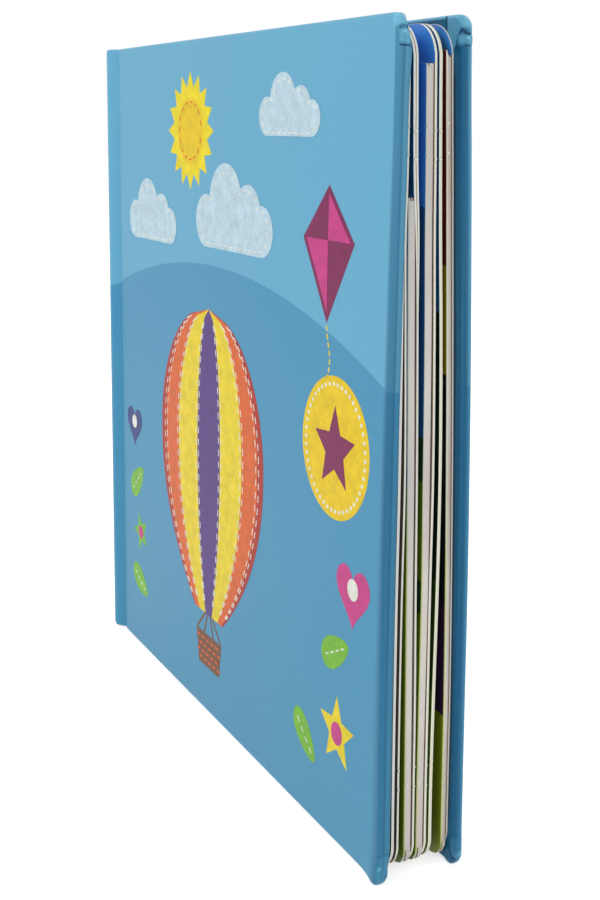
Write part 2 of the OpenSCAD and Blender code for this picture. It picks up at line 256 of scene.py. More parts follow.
def section(outer, inner, along, low, high, edge, rows):
    """One loop, as points and as places on the sheet."""
    outer, inner = np.array(outer, float), np.array(inner, float)
    across = np.linalg.norm(inner - outer)
    d = (inner - outer) / across
    r = min(edge, across * 0.48)
    zs, deep = [], []
    for a in TURNS:
        zs.append(low + r * (1 - math.sin(math.radians(a))))
        deep.append(r * (1 - math.cos(math.radians(a))))
    for t in rows:
        zs.append(low + r + (high - low - 2 * r) * t)
        deep.append(0)
    for a in reversed(TURNS):
        zs.append(high - r * (1 - math.sin(math.radians(a))))
        deep.append(r * (1 - math.cos(math.radians(a))))
    front = [(*(outer + d * g), z) for z, g in zip(zs, deep)]
    back = [(*(inner - d * g), z) for z, g in zip(zs, deep)]
    middle = (low + high) / 2
    spread = [z + (g if z > middle else -g) for z, g in zip(zs, deep)]
    at_front = [(along, v, g / across) for v, g in zip(spread, deep)]
    at_back = [(along, v, 1 - g / across) for v, g in zip(spread, deep)]
    return front + back[::-1], at_front + at_back[::-1]


def add_cap(points, places, faces, base, count, columns):
    """Closes a loop by a grid, so that the edge of a board can be shaped too."""
    grid = []
    for i in range(count // 2):
        a, b = base + i, base + count - 1 - i
        row = [a]
        for c in range(1, columns):
            t = c / columns
            row.append(len(points))
            points.append(tuple(np.array(points[a]) * (1 - t) + np.array(points[b]) * t))
            places.append(tuple(np.array(places[a]) * (1 - t) + np.array(places[b]) * t))
        grid.append(row + [b])
    for low_row, high_row in zip(grid, grid[1:]):
        for k in range(columns):
            faces.append((low_row[k], low_row[k + 1], high_row[k + 1], high_row[k]))


def add_skin(points, places, faces, loops, ends=(True, True), columns=1):
    base, count = len(points), len(loops[0][0])
    for loop_points, loop_places in loops:
        points += loop_points
        places += loop_places
    for k in range(len(loops) - 1):
        a, b = base + k * count, base + (k + 1) * count
        for i in range(count):
            j = (i + 1) % count
            faces.append((a + i, a + j, b + j, b + i))
    for closed, k in zip(ends, (0, len(loops) - 1)):
        if closed:
            add_cap(points, places, faces, base + k * count, count, columns)


def make_piece(name, points, places, faces, sharp=40):
    """A mesh object in metres from points in millimetres, with its places as an attribute."""
    mesh = bpy.data.meshes.new(name)
    mesh.from_pydata([tuple(float(c) * MM for c in p) for p in points], [], faces)
    place = mesh.attributes.new("place", "FLOAT_VECTOR", "POINT")
    place.data.foreach_set("vector", np.array(places, np.float32).ravel() * np.tile(
        np.array([MM, MM, 1], np.float32), len(places)))
    skin = bmesh.new()
    skin.from_mesh(mesh)
    bmesh.ops.recalc_face_normals(skin, faces=skin.faces)
    skin.to_mesh(mesh)
    skin.free()
    mesh.shade_smooth()
    mesh.set_sharp_from_angle(angle=math.radians(sharp))
    piece = bpy.data.objects.new(name, mesh)
    bpy.context.scene.collection.objects.link(piece)
    return piece


def shift_mesh(piece, move):
    """Moves every vertex by move(x, y, z), all in millimetres."""
    mesh = piece.data
    co = np.zeros(len(mesh.vertices) * 3)
    mesh.vertices.foreach_get("co", co)
    co = co.reshape(-1, 3) / MM
    co += move(co[:, 0], co[:, 1], co[:, 2])
    mesh.vertices.foreach_set("co", (co * MM).ravel())
    mesh.update()


def bow_piece(piece, kind, leans=False):
    def move(x, y, z):
        share = np.clip((x - pages_low[0]) / (pages_high[0] - pages_low[0]), 0, 1)
        return np.stack([LEAN(z) * share * leans, bow(kind, x, z), 0 * x], 1)
    shift_mesh(piece, move)


# %% A plate with round corners at the fore-edge


def plate_steps(x0, x1, corner, edge, step, fine):
    """Places along a plate, closer together where its far end is rounded or folded."""
    xs = list(np.linspace(x0 + edge, x1 - max(corner, edge), max(2, int((x1 - x0) / step))))
    xs += list(np.arange(x1 - fine, x1 - edge, 0.4))
    xs += [x1 - corner + corner * math.sin(math.radians(a)) for a in range(10, 90, 10)]
    xs += [x1 - edge + edge * math.sin(math.radians(a)) for a in (0, 25, 50, 70, 90)]
    xs += [x0 + edge * (1 - math.cos(math.radians(a))) for a in (0, 30, 60)]
    kept = []
    for x in sorted(xs):
        if not kept or x - kept[-1] > 0.02:
            kept.append(x)
    return kept


def inset(x, x1, r):
    """How far a corner of radius r draws the side in, at x, near its end x1."""
    reach = min(max(x - (x1 - r), 0), r)
    return r - math.sqrt(max(r * r - reach * reach, 0))


def plate_loops(x0, x1, y0, y1, z0, z1, corner, edge, rows, step=6, fine=0, foot=None):
    """Sections of a plate whose outer face is at y0 and inner face at y1."""
    side, depth = (1 if y1 > y0 else -1), abs(y1 - y0)
    loops = []
    for x in plate_steps(x0, x1, corner, edge, step, fine):
        near = edge - math.sqrt(max(edge ** 2 - max(x0 + edge - x, 0) ** 2, 0))
        thin = max(inset(x, x1, edge), near)
        at, where = section((x, y0 + side * thin), (x, y1 - side * thin), x - crease_x,
                            z0 + inset(x, x1, foot or corner) + near,
                            z1 - inset(x, x1, corner) - near, max(edge - thin * 0.9, 0.02), rows)
        loops.append((at, [(u, v, (thin + w * (depth - 2 * thin)) / depth)
                           for u, v, w in where]))
    return loops


def even_rows(count):
    return [i / count for i in range(count + 1)]


def plate(name, x0, x1, y0, y1, z0, z1, corner, edge, rows=even_rows(40), step=6):
    points, places, faces = [], [], []
    add_skin(points, places, faces,
             plate_loops(x0, x1, y0, y1, z0, z1, corner, edge, rows, step))
    return make_piece(name, points, places, faces)


# %% [markdown]
# ## The case: one printed sheet round three boards
#
# On the real book one sheet runs over the front board, down into the joint, round the spine
# and over the back board. Its solid had to be cut at the creases, because a solid can't
# bend. Here each half of the case, from the middle of the spine to the fore-edge, is one
# skin, and it bends in the joint. The path of its outer face goes along the spine's back,
# round the shoulder, down the slope into the groove, and up over the board's near edge.

# %% The path of the case, from the middle of the spine to the crease
EDGE_R = 0.9
CORNER_R = 3.5
spine_x, spine_half = spine_low[0], spine_high[1]
shoulder_r = 1.25
spine_inner_x = pages_low[0]
groove_y, joint_t = 9.075, 0.5
groove_x0, groove_x1 = crease_x - 1.7, crease_x - 0.5
LINING_DIP = 0.12


def case_path():
    """Pairs of points, outer and inner, for the front half (Y below 0)."""
    pairs = [((spine_x, -y), (spine_inner_x, -y * 0.98)) for y in (0, 2.5, 5, 7.5, 9.4)]
    cx, cy = spine_x + shoulder_r, -spine_half + shoulder_r
    for k, a in enumerate((180, 200, 222, 245, 270)):
        pairs.append(((cx + shoulder_r * math.cos(math.radians(a)),
                       cy + shoulder_r * math.sin(math.radians(a))),
                      (spine_inner_x, -9.9 - 0.25 * k)))
    top = (spine_x + 2.65, -spine_half)
    pairs.append(((top[0] - 0.6, top[1]), (spine_inner_x + 0.02, -11.1)))
    for t in (0.0, 0.12, 0.28, 0.46, 0.64, 0.82, 0.94, 1.0):
        soft = t * t * (3 - 2 * t)
        mix = 0.45 * t + 0.55 * soft
        x = top[0] + (groove_x0 - top[0]) * t
        y = top[1] + (-groove_y - top[1]) * mix
        pairs.append(((x, y), (x + 0.18, y + joint_t - 0.02)))
    pairs.append(((groove_x1 - 0.35, -groove_y), (groove_x1 - 0.35, -groove_y + joint_t)))
    pairs.append(((groove_x1 + 0.02, -groove_y - 0.06), (groove_x1 - 0.02, -groove_y + joint_t)))
    pairs.append(((crease_x - 0.08, face_y + EDGE_R + 0.05), (crease_x - 0.25, lining_y - 0.7)))
    for a, back in ((160, 0.10), (135, 0.3), (112, 0.5), (90, 0.8)):
        pairs.append(((crease_x + EDGE_R + EDGE_R * math.cos(math.radians(a)),
                       face_y + EDGE_R - EDGE_R * math.sin(math.radians(a))),
                      (crease_x + back, lining_y - LINING_DIP * max(a - 112, 0) / 48)))
    return pairs


FINE = 9.5
near_end = (np.arange(EDGE_R + 0.25, FINE, 0.28) - EDGE_R) / (cover_h - 2 * EDGE_R)
CASE_ROWS = sorted({i / 44 for i in range(45)} | set(near_end) | set(1 - near_end))


def case_half(name, kind):
    side = 1 if kind == "front" else -1
    points, places, faces, loops = [], [], [], []
    pairs = case_path()
    lengths = [0.0]
    for (a, _), (b, _) in zip(pairs, pairs[1:]):
        lengths.append(lengths[-1] + math.dist(a, b))
    reach = lengths[-1] - EDGE_R
    for (outer, inner), s in zip(pairs, lengths):
        loops.append(section((outer[0], outer[1] * side), (inner[0], inner[1] * side),
                             s - reach, 0, cover_h, EDGE_R, CASE_ROWS))
    board = plate_loops(crease_x, fore_x, face_y * side, lining_y * side, 0, cover_h,
                        CORNER_R, EDGE_R, CASE_ROWS, step=4.5, fine=FINE)
    loops += [b for b in board if b[1][0][0] > EDGE_R + 0.5]
    add_skin(points, places, faces, loops, ends=(False, True), columns=6)
    return make_piece(name, points, places, faces, sharp=50)


case_front = case_half("case_front", "front")
case_back = case_half("case_back", "back")
print("case halves:", [len(c.data.vertices) for c in (case_front, case_back)], "vertices")

# %% [markdown]
# ## Corners of the case
#
# At each corner the sheet is folded in over the head first and then over the fore-edge, so
# three layers lie on each other for the last 7 mm. That shows as a small pillow on the
# board's edge, with creases round it where the sheet was tucked in. The creases are lines on
# the board unrolled: across its inner face, then over its fore-edge. Each line presses a
# groove into the skin, because a bump map has no outline. The same lines are kept in an
# attribute as painted shade, which darkens the ink in them, along with painted shade on the
# fore-edge band, the inner margin and the pasted page's edge, and painted highlight on the
# pillows, corner tips, glints and tucked fold. The front board is a little swollen at its
# fore-edge, and its corner at the tail has been dropped on, so it bulges outward.

# %% Creases and pillows, on the board unrolled
BOARD_T = lining_y - face_y
SWELL = 0.45
# (kind, end): lines of (s, distance from the end), width, depth. s is 0 at the inner rim,
# grows over the fore-edge to the outer rim, and is negative on the inner face.
# A crease's depth also sets how dark its painted shade is.
CREASES = {
    ("back", "head"): [([(-3.3, 7.9), (-2.6, 6.7), (-1.95, 5.5), (-1.2, 4.1), (-0.6, 3.5),
                         (0.0, 3.3), (0.8, 3.9), (1.45, 4.4), (3.0, 4.3)], 0.28, 0.36),
                       ([(-3.4, 8.2), (-0.9, 7.5), (0.7, 6.9), (1.4, 6.75), (3.2, 6.7)],
                        0.16, 0.18),
                       ([(-6.65, 3.9), (-6.6, 0.5)], 0.36, 0.32)],
    ("back", "tail"): [([(-1.6, 4.4), (-0.75, 2.7), (0.4, 1.6), (1.4, 1.0), (2.4, 0.95)],
                        0.22, 0.24),
                       ([(-0.2, 7.1), (3.2, 6.9)], 0.16, 0.12)],
    ("front", "head"): [([(-0.4, 3.7), (0.3, 3.3), (1.0, 3.05), (1.8, 3.0), (2.4, 3.35)],
                         0.26, 0.32),
                        ([(0.0, 7.2), (2.6, 7.0)], 0.18, 0.2)],
    ("front", "tail"): [([(0.35, 2.2), (0.85, 1.9), (1.55, 2.1)], 0.26, 0.22),
                        ([(0.0, 7.1), (3.2, 6.9)], 0.16, 0.12)],
}
# Pillows: s from and to, distance from the end from and to, height, and the glint on top.
PILLOWS = {("back", "head"): (-1.6, 3.2, 4.3, 7.0, 0.34, (1.45, 5.2)),
           ("back", "tail"): (-1.0, 3.2, 2.0, 6.9, 0.20, (2.4, 3.0)),
           ("front", "head"): (0.2, 2.9, 3.5, 7.0, 0.32, (1.5, 4.2)),
           ("front", "tail"): (0.2, 3.0, 2.4, 6.9, 0.20, (2.4, 4.0))}
# Painted highlight: how much paler the ink is on the pillows and corner tips, in the glint and on the tucked fold, for
# the light they catch.
PILLOW_HIGHLIGHT, TIP_HIGHLIGHT = {"head": 0.34, "tail": 0.08}, {"head": 0.52, "tail": 0.06}
GLINT_LIGHT, TUCK_HIGHLIGHT = 0.75, 0.14
CORNER_BULGE, KNOCK = 0.24, 0.95
# The inner edge of the front board near its head: (distance from the head, mm inward).
HEAD_EDGE = ((0, -0.8), (2.3, -0.68), (3.5, -0.34), (5.5, 0.16), (7.1, 0.5), (8.1, 0.6),
             (10.6, 0.45), (12.6, 0.32), (16.6, 0.11), (24, 0))


def ramp(x, a, b):
    t = np.clip((x - a) / (b - a), 0, 1)
    return t * t * (3 - 2 * t)


def line_distance(s, v, line):
    best = np.full(len(s), 99.0)
    for (s0, v0), (s1, v1) in zip(line, line[1:]):
        ds, dv = s1 - s0, v1 - v0
        t = np.clip(((s - s0) * ds + (v - v0) * dv) / (ds * ds + dv * dv), 0, 1)
        best = np.minimum(best, np.hypot(s - s0 - t * ds, v - v0 - t * dv))
    return best


def shape_corners(piece, kind, side, knock):
    """Presses the folds into a cover's skin, and keeps the painted shade and painted highlight there."""
    mesh = piece.data
    co, place = np.zeros(len(mesh.vertices) * 3), np.zeros(len(mesh.vertices) * 3)
    mesh.vertices.foreach_get("co", co)
    mesh.attributes["place"].data.foreach_get("vector", place)
    co, place = co.reshape(-1, 3) / MM, place.reshape(-1, 3)
    x, z, w = co[:, 0], co[:, 2], place[:, 2]
    s = (1 - w) * BOARD_T + np.where(w > 0.5, x - fore_x, fore_x - x)
    on_edge = ramp(x, fore_x - EDGE_R, fore_x - 0.1)
    out_y = side * np.sign(w - 0.5) * (1 - on_edge)
    over = ramp(x, fore_x - 9.5, fore_x - 8.5)
    # Painted shade: the fore-edge band, the inner margin and the outer face near the fore-edge get darker ink for the
    # shade that falls there, more on the back board; rim is how far it reaches onto the outer face.
    if kind == "front":
        dark = (np.interp(w, (0.31, 0.39, 0.48, 0.61, 0.69), (0.6, 0.82, 0.6, 0.3, 0.4))
                * np.interp(z, (0, 80, 195), (0.9, 1.18, 0.95)))
        rim = np.interp(z, (0, 60, 195), (4.6, 3.4, 1.5))
    else:
        dark = np.interp(w, (0.31, 0.35, 0.42, 0.54, 0.63, 0.69),
                         (0.25, 0.48, 0.74, 0.86, 0.97, 1.0))
        rim = np.full(len(x), 2.6)
    dark = dark * np.where(w > 0.97, ramp(x, crease_x + 0.5, crease_x + 3),
                           ramp(fore_x - x, rim, 0.7))
    # Painted highlight on the pillows, glints, corner tips and tucked fold; the tips and the tucked fold also get less
    # painted shade.
    light = np.zeros(len(x))
    lift = np.zeros(len(x))
    for end, up in (("head", cover_h - z), ("tail", z)):
        s0, s1, v0, v1, height, glint = PILLOWS[kind, end]
        pillow = (ramp(s, s0 - 0.3, s0 + 0.5) * ramp(s, s1 + 0.2, s1 - 0.6)
                  * ramp(up, v0 - 0.1, v0 + 0.6) * ramp(up, v1 + 0.1, v1 - 0.8)) * over
        lift += height * pillow
        light += PILLOW_HIGHLIGHT[end] * pillow
        light += GLINT_LIGHT * over * np.exp(-(((s - glint[0]) / 0.45) ** 2
                                               + ((up - glint[1]) / 0.3) ** 2))
        far = 5.6 if (kind, end) == ("front", "head") else 3.9
        tip = over * ramp(up, 3.6, 2.2) * ramp(s, -0.5, 0.6) * ramp(s, far, far - 1.1)
        light += TIP_HIGHLIGHT[end] * tip
        dark = dark * (1 - 0.45 * tip)
        if (kind, end) == ("back", "head"):
            leg = np.minimum(3.6 + np.maximum(-0.2 - s, 0) * 1.43, 8)
            tucked = over * ramp(s, -6.7, -6.4) * ramp(up, leg, leg - 0.8) * ramp(s, 0.4, -0.2)
            dark = dark * (1 - 0.5 * tucked)
            light += TUCK_HIGHLIGHT * tucked
        # Each crease is pressed in as a groove, and painted shade darkens the ink along it.
        for line, width, depth in CREASES[kind, end]:
            pressed = over * np.exp(-(line_distance(s, up, line) / width) ** 2)
            lift -= depth * pressed
            dark = np.maximum(dark, 1.75 * pressed * min(1, depth / 0.22))
            light *= 1 - pressed
    move = np.zeros_like(co)
    move[:, 0] = lift * on_edge
    move[:, 1] = lift * out_y
    if kind == "front":
        move[:, 1] += side * SWELL * w * ramp(x, crease_x + 20, fore_x)
        move[:, 1] += (side * w * ramp(x, fore_x - 2.6, fore_x - 1.2)
                       * np.interp(cover_h - z, *zip(*HEAD_EDGE)))
    a, b = np.clip((x - fore_x + CORNER_R, CORNER_R - z), 0, CORNER_R) / CORNER_R
    blunt = CORNER_BULGE * np.minimum(1, 2 * a * b) * CORNER_R
    move[:, 0] += a * blunt * (1 if kind == "front" else 0.3)
    move[:, 2] -= b * blunt * (1 if kind == "front" else 1.25)
    if knock:
        reach = np.exp(-(((fore_x - x) / 5.0) ** 2 + (z / 4.2) ** 2))
        move[:, 1] -= side * knock * reach
        move[:, 2] -= 0.25 * reach * ramp(z, 3.0, 0.0)
    # Painted shadow: a dark line on the board's inner face along the pasted page's edge.
    page_edge_shadow = np.exp(-((x - pages_high[0] - 0.35 - LEAN(z)) / 0.45) ** 2) * (w > 0.97)
    dark = np.maximum(dark, 1.7 * page_edge_shadow * ramp(z, 6, 12) * ramp(cover_h - z, 6, 12))
    mesh.vertices.foreach_set("co", ((co + move) * MM).ravel())
    # Keeps the painted shade in x and the painted highlight in y.
    shading_at = mesh.attributes.new("fold_tone", "FLOAT_VECTOR", "POINT")
    shading_at.data.foreach_set("vector", np.stack([dark, light, 0 * dark], 1)
                             .astype(np.float32).ravel())
    mesh.update()


# %% Shape and bow the two halves
for piece, kind, side, knock in ((case_front, "front", 1, KNOCK), (case_back, "back", -1, 0)):
    shape_corners(piece, kind, side, knock)
    bow_piece(piece, kind)
    low_z = min(v.co.z for v in piece.data.vertices) / MM
    print(f"{piece.name}: lowest point {low_z:.2f} mm")

# %% [markdown]
# ## Boards and pasted pages
#
# Inside the wrap lies the greyboard, and over its inner face a printed page is pasted. The
# board's wrap is turned in 15 mm all round, and its edge shows through the pasted page as a
# faint step. The pasted page also runs on over the joint to the folds of the page block:
# that is what holds the book in its case, so it bends between the cover and the block.

# %% Greyboards and pasted pages
WRAP_T = 0.25
TURN_IN = 15
page_foot, page_head = pages_low[2] - 1.6, pages_high[2] + 0.35
page_fore, page_back = pages_high[0], pages_low[0]
PAGE_CORNER, FOOT_CORNER = 8, 6.8
PASTE_T = box_mm("front_pastedown")[1][1] - lining_y
FOLD_WALL = 1.5
wall_x = page_back + FOLD_WALL


def greyboard(name, side):
    y0, y1 = (face_y + WRAP_T) * side, (lining_y - 2 * WRAP_T) * side
    return plate(name, crease_x + 0.6, fore_x - 3 * WRAP_T, y0, y1, 3 * WRAP_T,
                 cover_h - 3 * WRAP_T, CORNER_R, 0.5)


def pasted_page(name, side):
    y0, y1 = (lining_y + 0.02) * side, (lining_y + PASTE_T) * side
    page = plate(name, wall_x - 0.6, page_fore, y0, y1, page_foot, page_head, PAGE_CORNER,
                 0.12, rows=even_rows(60), step=3)

    def sink(x, y, z):
        inside = (ramp(fore_x - x, TURN_IN - 0.3, TURN_IN + 0.5)
                  * ramp(z, TURN_IN - 0.3, TURN_IN + 0.5)
                  * ramp(cover_h - z, TURN_IN - 0.3, TURN_IN + 0.5)
                  * ramp(x - crease_x, 1.5, 2.5))
        return np.stack([0 * x, -0.1 * side * inside, 0 * x], 1)

    shift_mesh(page, sink)
    return page


boards, pasted = {}, {}
for kind, side in (("front", 1), ("back", -1)):
    boards[kind] = greyboard(f"greyboard_{kind}", side)
    pasted[kind] = pasted_page(f"pasted_page_{kind}", side)
    if kind == "front":
        shift_mesh(boards[kind], lambda x, y, z: np.stack(
            [0 * x, SWELL * ramp(x, crease_x + 20, fore_x) * (y - face_y) / BOARD_T, 0 * x], 1))
        shift_mesh(pasted[kind], lambda x, y, z: np.stack(
            [0 * x, SWELL * ramp(x, crease_x + 20, fore_x), 0 * x], 1))
    bow_piece(boards[kind], kind)
    bow_piece(pasted[kind], kind, leans=True)
print("pasted pages run from the folds at x =", round(float(wall_x), 2))

# %% [markdown]
# ## Page cards
#
# Five thick cards, each glued from two printed pages back to back, stand between the
# covers. Their edges are white and square with a hair of rounding, and their corners at the
# fore-edge are round. The die that cut them left tiny nubs where the waste was torn off.
# A card is a plate, and a nub is a small bead of card set into its edge. The photo shows the
# page edges a little higher at the head and lower at the tail than the flat solid has them.

# %% Cards with torn nubs
# Thickness of a card in the comb of folds, then of each card as its edge shows it.
LEAF_T = 0.5
LEAVES = {name: BOWS[name][0] for name in ("leaf_1", "leaf_2", "leaf_3", "leaf_4", "leaf_5")}
THICK = {"leaf_1": 0.7, "leaf_2": 0.5, "leaf_3": 0.52, "leaf_4": 0.6, "leaf_5": 0.84}
STUB_X = page_back + 3.3
# Heights of the nubs on each edge.
NUBS = {"leaf_2": (20.6, 25.1, 164.5, 170.6), "leaf_3": (20.6, 25.3, 163.5, 169.6),
        "leaf_4": (20.1, 25.0, 163.5, 169.8), "leaf_5": (20.1, 25.6, 163.3, 169.6),
        "flap_1": (21.4, 26.0), "flap_2": (20.8, 25.8, 164.3, 170.5), "flap_3": (164.7, 171.2)}


NUB_W = 0.22


def add_nub(points, places, faces, x, y, z, wide, place, tall=0.46, proud=0.42):
    """A small rounded bead of bare card on an edge that faces +X."""
    base, rings, around = len(points), 3, 10
    for k in range(rings):
        a = math.radians(90 * k / rings)
        for i in range(around):
            b = 2 * math.pi * i / around
            points.append((x - 0.02 + proud * math.sin(a), y + wide / 2 * math.cos(a) * math.cos(b),
                           z + tall * math.cos(a) * math.sin(b)))
            places.append(place)
    points.append((x + proud, y, z))
    places.append(place)
    for k in range(rings - 1):
        for i in range(around):
            j = (i + 1) % around
            a, b = base + k * around, base + (k + 1) * around
            faces.append((a + i, a + j, b + j, b + i))
    a = base + (rings - 1) * around
    faces += [(a + i, a + (i + 1) % around, base + rings * around) for i in range(around)]
    faces.append(tuple(base + i for i in reversed(range(around))))


def open_ply(middle):
    """The two sheets of the third card have come apart towards the head."""
    def move(x, y, z):
        apart = ramp(z, 126, 160) * ramp(x, held_x + 60, page_fore)
        return np.stack([0 * x, (y - middle) * 1.5 * apart, 0 * x], 1)
    return move


cards = {}
for name, middle in LEAVES.items():
    points, places, faces = [], [], []
    half = THICK[name] / 2
    add_skin(points, places, faces, plate_loops(
        STUB_X, page_fore, middle - half, middle + half, page_foot, page_head,
        PAGE_CORNER, 0.1, even_rows(48), step=5, foot=FOOT_CORNER))
    for z in NUBS.get(name, ()):
        add_nub(points, places, faces, page_fore, middle, z, 2 * half,
                (page_fore - crease_x, z, NUB_W))
    cards[name] = make_piece(name, points, places, faces)
    if name == "leaf_3":
        shift_mesh(cards[name], open_ply(middle))
    bow_piece(cards[name], name, leans=True)
print("cards:", {n: round(t, 2) for n, t in THICK.items()})

# %% [markdown]
# ## The folds at the spine
#
# Two facing pages are one sheet, folded in the gutter. Six such folds, glued back to back,
# make the wall that is pasted into the spine. It is a comb in section: round hollows between
# short stubs that carry the cards.

# %% The comb of folds
HOLLOW_STEPS = 8


def comb_outline():
    mids = sorted(LEAVES.values())
    half_block = pages_high[1]
    tip = STUB_X + 0.002
    outline = [(page_back, -half_block)]
    faces_y = [-half_block] + [y + s * LEAF_T / 2 for y in mids for s in (-1, 1)] + [half_block]
    for a, b in zip(faces_y[0::2], faces_y[1::2]):
        r = (b - a) / 2
        first, last = a == faces_y[0], b == faces_y[-1]
        if not first:
            outline.append((tip, a))
        arc = [(wall_x + r - r * math.sin(math.pi * i / HOLLOW_STEPS),
                a + r - r * math.cos(math.pi * i / HOLLOW_STEPS)) for i in range(HOLLOW_STEPS + 1)]
        if first:
            arc = [(wall_x, a)] + [p for p in arc if p[1] > a + r * 0.99]
        if last:
            arc = [p for p in arc if p[1] < a + r * 1.01] + [(wall_x, b)]
        outline += arc
        if not last:
            outline.append((tip, b))
    outline.append((page_back, half_block))
    return outline


outline = comb_outline()
levels = [page_foot, page_foot + 0.1] + list(np.linspace(page_foot + 4, page_head - 4, 12)) + [
    page_head - 0.1, page_head]
points = [(x, y, z) for z in levels for x, y in outline]
places = [(x - crease_x, z, 0.5) for z in levels for x, _ in outline]
n = len(outline)
faces = [(k * n + i, k * n + (i + 1) % n, (k + 1) * n + (i + 1) % n, (k + 1) * n + i)
         for k in range(len(levels) - 1) for i in range(n)]
faces += [tuple(range(n)), tuple(reversed(range((len(levels) - 1) * n, len(levels) * n)))]
page_folds = make_piece("page_folds", points, places, faces, sharp=35)
print("comb of folds:", n, "points in its outline")

# %% [markdown]
# ## Lift flaps
#
# A flap is a card folded at the fore-edge, and its fold is the broad pale strip between the
# page edges. It follows the same section method, but its path goes out along one ply, turns
# twice round the squarish fold, and comes back along the other. Near its free end the flap
# is pasted to the card beside it by a strip.

# %% Folded flaps
FLAP_STRIP = 8
FLAP_CORNER, FLAP_FOOT, FLAP_RISE = 0.7, 4.6, 0.4
fold_x = page_fore - 0.12


def fold_path(x_free, x_fold, y0, y1, ply, corner_r=0.38):
    """Outer and inner points of a folded card, from one free edge round to the other."""
    inner_r = 0.1
    pairs = [(((x, y0), (x, y0 + ply)), x) for x in np.linspace(x_free, x_fold - 6, 24)]
    pairs += [(((x_fold - g, y0), (x_fold - g, y0 + ply)), x_fold - g) for g in (4, 2.4, 1.6)]
    ix = x_fold - ply
    for cy, iy, angles in ((y0 + corner_r, y0 + ply, (-90, -60, -30, 0)),
                           (y1 - corner_r, y1 - ply, (0, 30, 60, 90))):
        for a in angles:
            c, s = math.cos(math.radians(a)), math.sin(math.radians(a))
            px = x_fold - corner_r + corner_r * c
            qx = ix - inner_r + inner_r * c
            qy = iy + (inner_r if iy < (y0 + y1) / 2 else -inner_r) + inner_r * s
            pairs.append((((px, cy + corner_r * s), (qx, qy)), px))
    back = [(((x_fold - g, y1), (x_fold - g, y1 - ply)), x_fold - g) for g in (1.6, 2.4, 4)]
    back += [(((x, y1), (x, y1 - ply)), x) for x in np.linspace(x_fold - 6, x_free, 24)]
    return pairs + back


def flap(name, thick, ply, card_y, top, slope=0.0):
    """card_y is the face that the flap's strip is pasted to. Places run on round the fold."""
    low = box_mm(name)[0]
    y0, y1 = BOWS[name][0] - thick / 2, BOWS[name][0] + thick / 2
    points, places, faces, loops = [], [], [], []
    path = fold_path(low[0], fold_x, y0, y1, ply)
    for k, ((outer, inner), x) in enumerate(path):
        tip = min(x + 0.1, fold_x)
        fall = slope * (outer[1] - y0) / thick
        along = x if k < len(path) / 2 else 2 * fold_x - x
        at, where = section(outer, inner, along - crease_x,
                            page_foot + FLAP_RISE + inset(tip, fold_x, FLAP_FOOT),
                            top - inset(tip, fold_x, FLAP_CORNER) - fall,
                            0.1, even_rows(44))
        loops.append((at, [(u, v + fall, w) for u, v, w in where]))
    add_skin(points, places, faces, loops)
    strip = (y1, card_y) if card_y > y1 else (card_y, y0)
    add_skin(points, places, faces, plate_loops(
        low[0], low[0] + FLAP_STRIP, strip[0] + 0.01, strip[1] - 0.01, low[2], top,
        0.2, 0.1, even_rows(12), step=4))
    for z in NUBS[name]:
        add_nub(points, places, faces, fold_x, y0 + 0.4, z, 0.5,
                (fold_x - crease_x, top + 1, NUB_W))
    piece = make_piece(name + "_card", points, places, faces)
    bow_piece(piece, name, leans=True)
    return piece


flaps = {
    "flap_1": flap("flap_1", 1.8, 0.78, LEAVES["leaf_2"] + 0.25, box_mm("flap_1")[1][2]),
    "flap_2": flap("flap_2", 1.82, 0.78, LEAVES["leaf_4"] - 0.25, box_mm("flap_2")[1][2]),
    "flap_3": flap("flap_3", 1.26, 0.55, lining_y * -1 - PASTE_T, box_mm("flap_3")[1][2], 1.6),
}
print("flaps end at heights", [round(float(box_mm(f)[1][2]), 1) for f in flaps])

# %% [markdown]
# ## Pop-ups
#
# A pop-up is a cut card, folded in the gutter and flat while the book is closed. When a
# cover opens, one ply leans with the cover and the other with the block, and it stands up
# as a V. Its two bodies are given from low Y to high, so that the V stands on the open side
# when a cover lies flat. The two pop-ups in the middle of the block stay flat. The outline
# is filled with small triangles, because a long face can't bend, and both plies are joined
# at the fold.

# %% Flat shapes from outlines


def inside(points, x, y):
    hit, j = False, len(points) - 1
    for i in range(len(points)):
        (xi, yi), (xj, yj) = points[i], points[j]
        if (yi > y) != (yj > y) and x < (xj - xi) * (y - yi) / (yj - yi) + xi:
            hit = not hit
        j = i
    return hit


def filled(outline, grid):
    """Triangles that fill an outline, with a grid of points inside it."""
    us, vs = [p[0] for p in outline], [p[1] for p in outline]
    extra = []
    rim = np.array(outline)
    for u in np.arange(math.floor(min(us) / grid) * grid, max(us), grid):
        for v in np.arange(math.floor(min(vs) / grid) * grid, max(vs), grid):
            if inside(outline, u, v) and np.min(np.hypot(*(rim - (u, v)).T)) > grid * 0.35:
                extra.append((u, v))
    count = len(outline)
    verts = [Vector(p) for p in list(outline) + extra]
    edges = [(i, (i + 1) % count) for i in range(count)]
    out = delaunay_2d_cdt(verts, edges, [], 1, 1e-5)
    flat, tris = [tuple(v) for v in out[0]], []
    for f in out[2]:
        cu = sum(flat[i][0] for i in f) / len(f)
        cv = sum(flat[i][1] for i in f) / len(f)
        if inside(outline, cu, cv):
            tris.append(tuple(f))
    return flat, tris


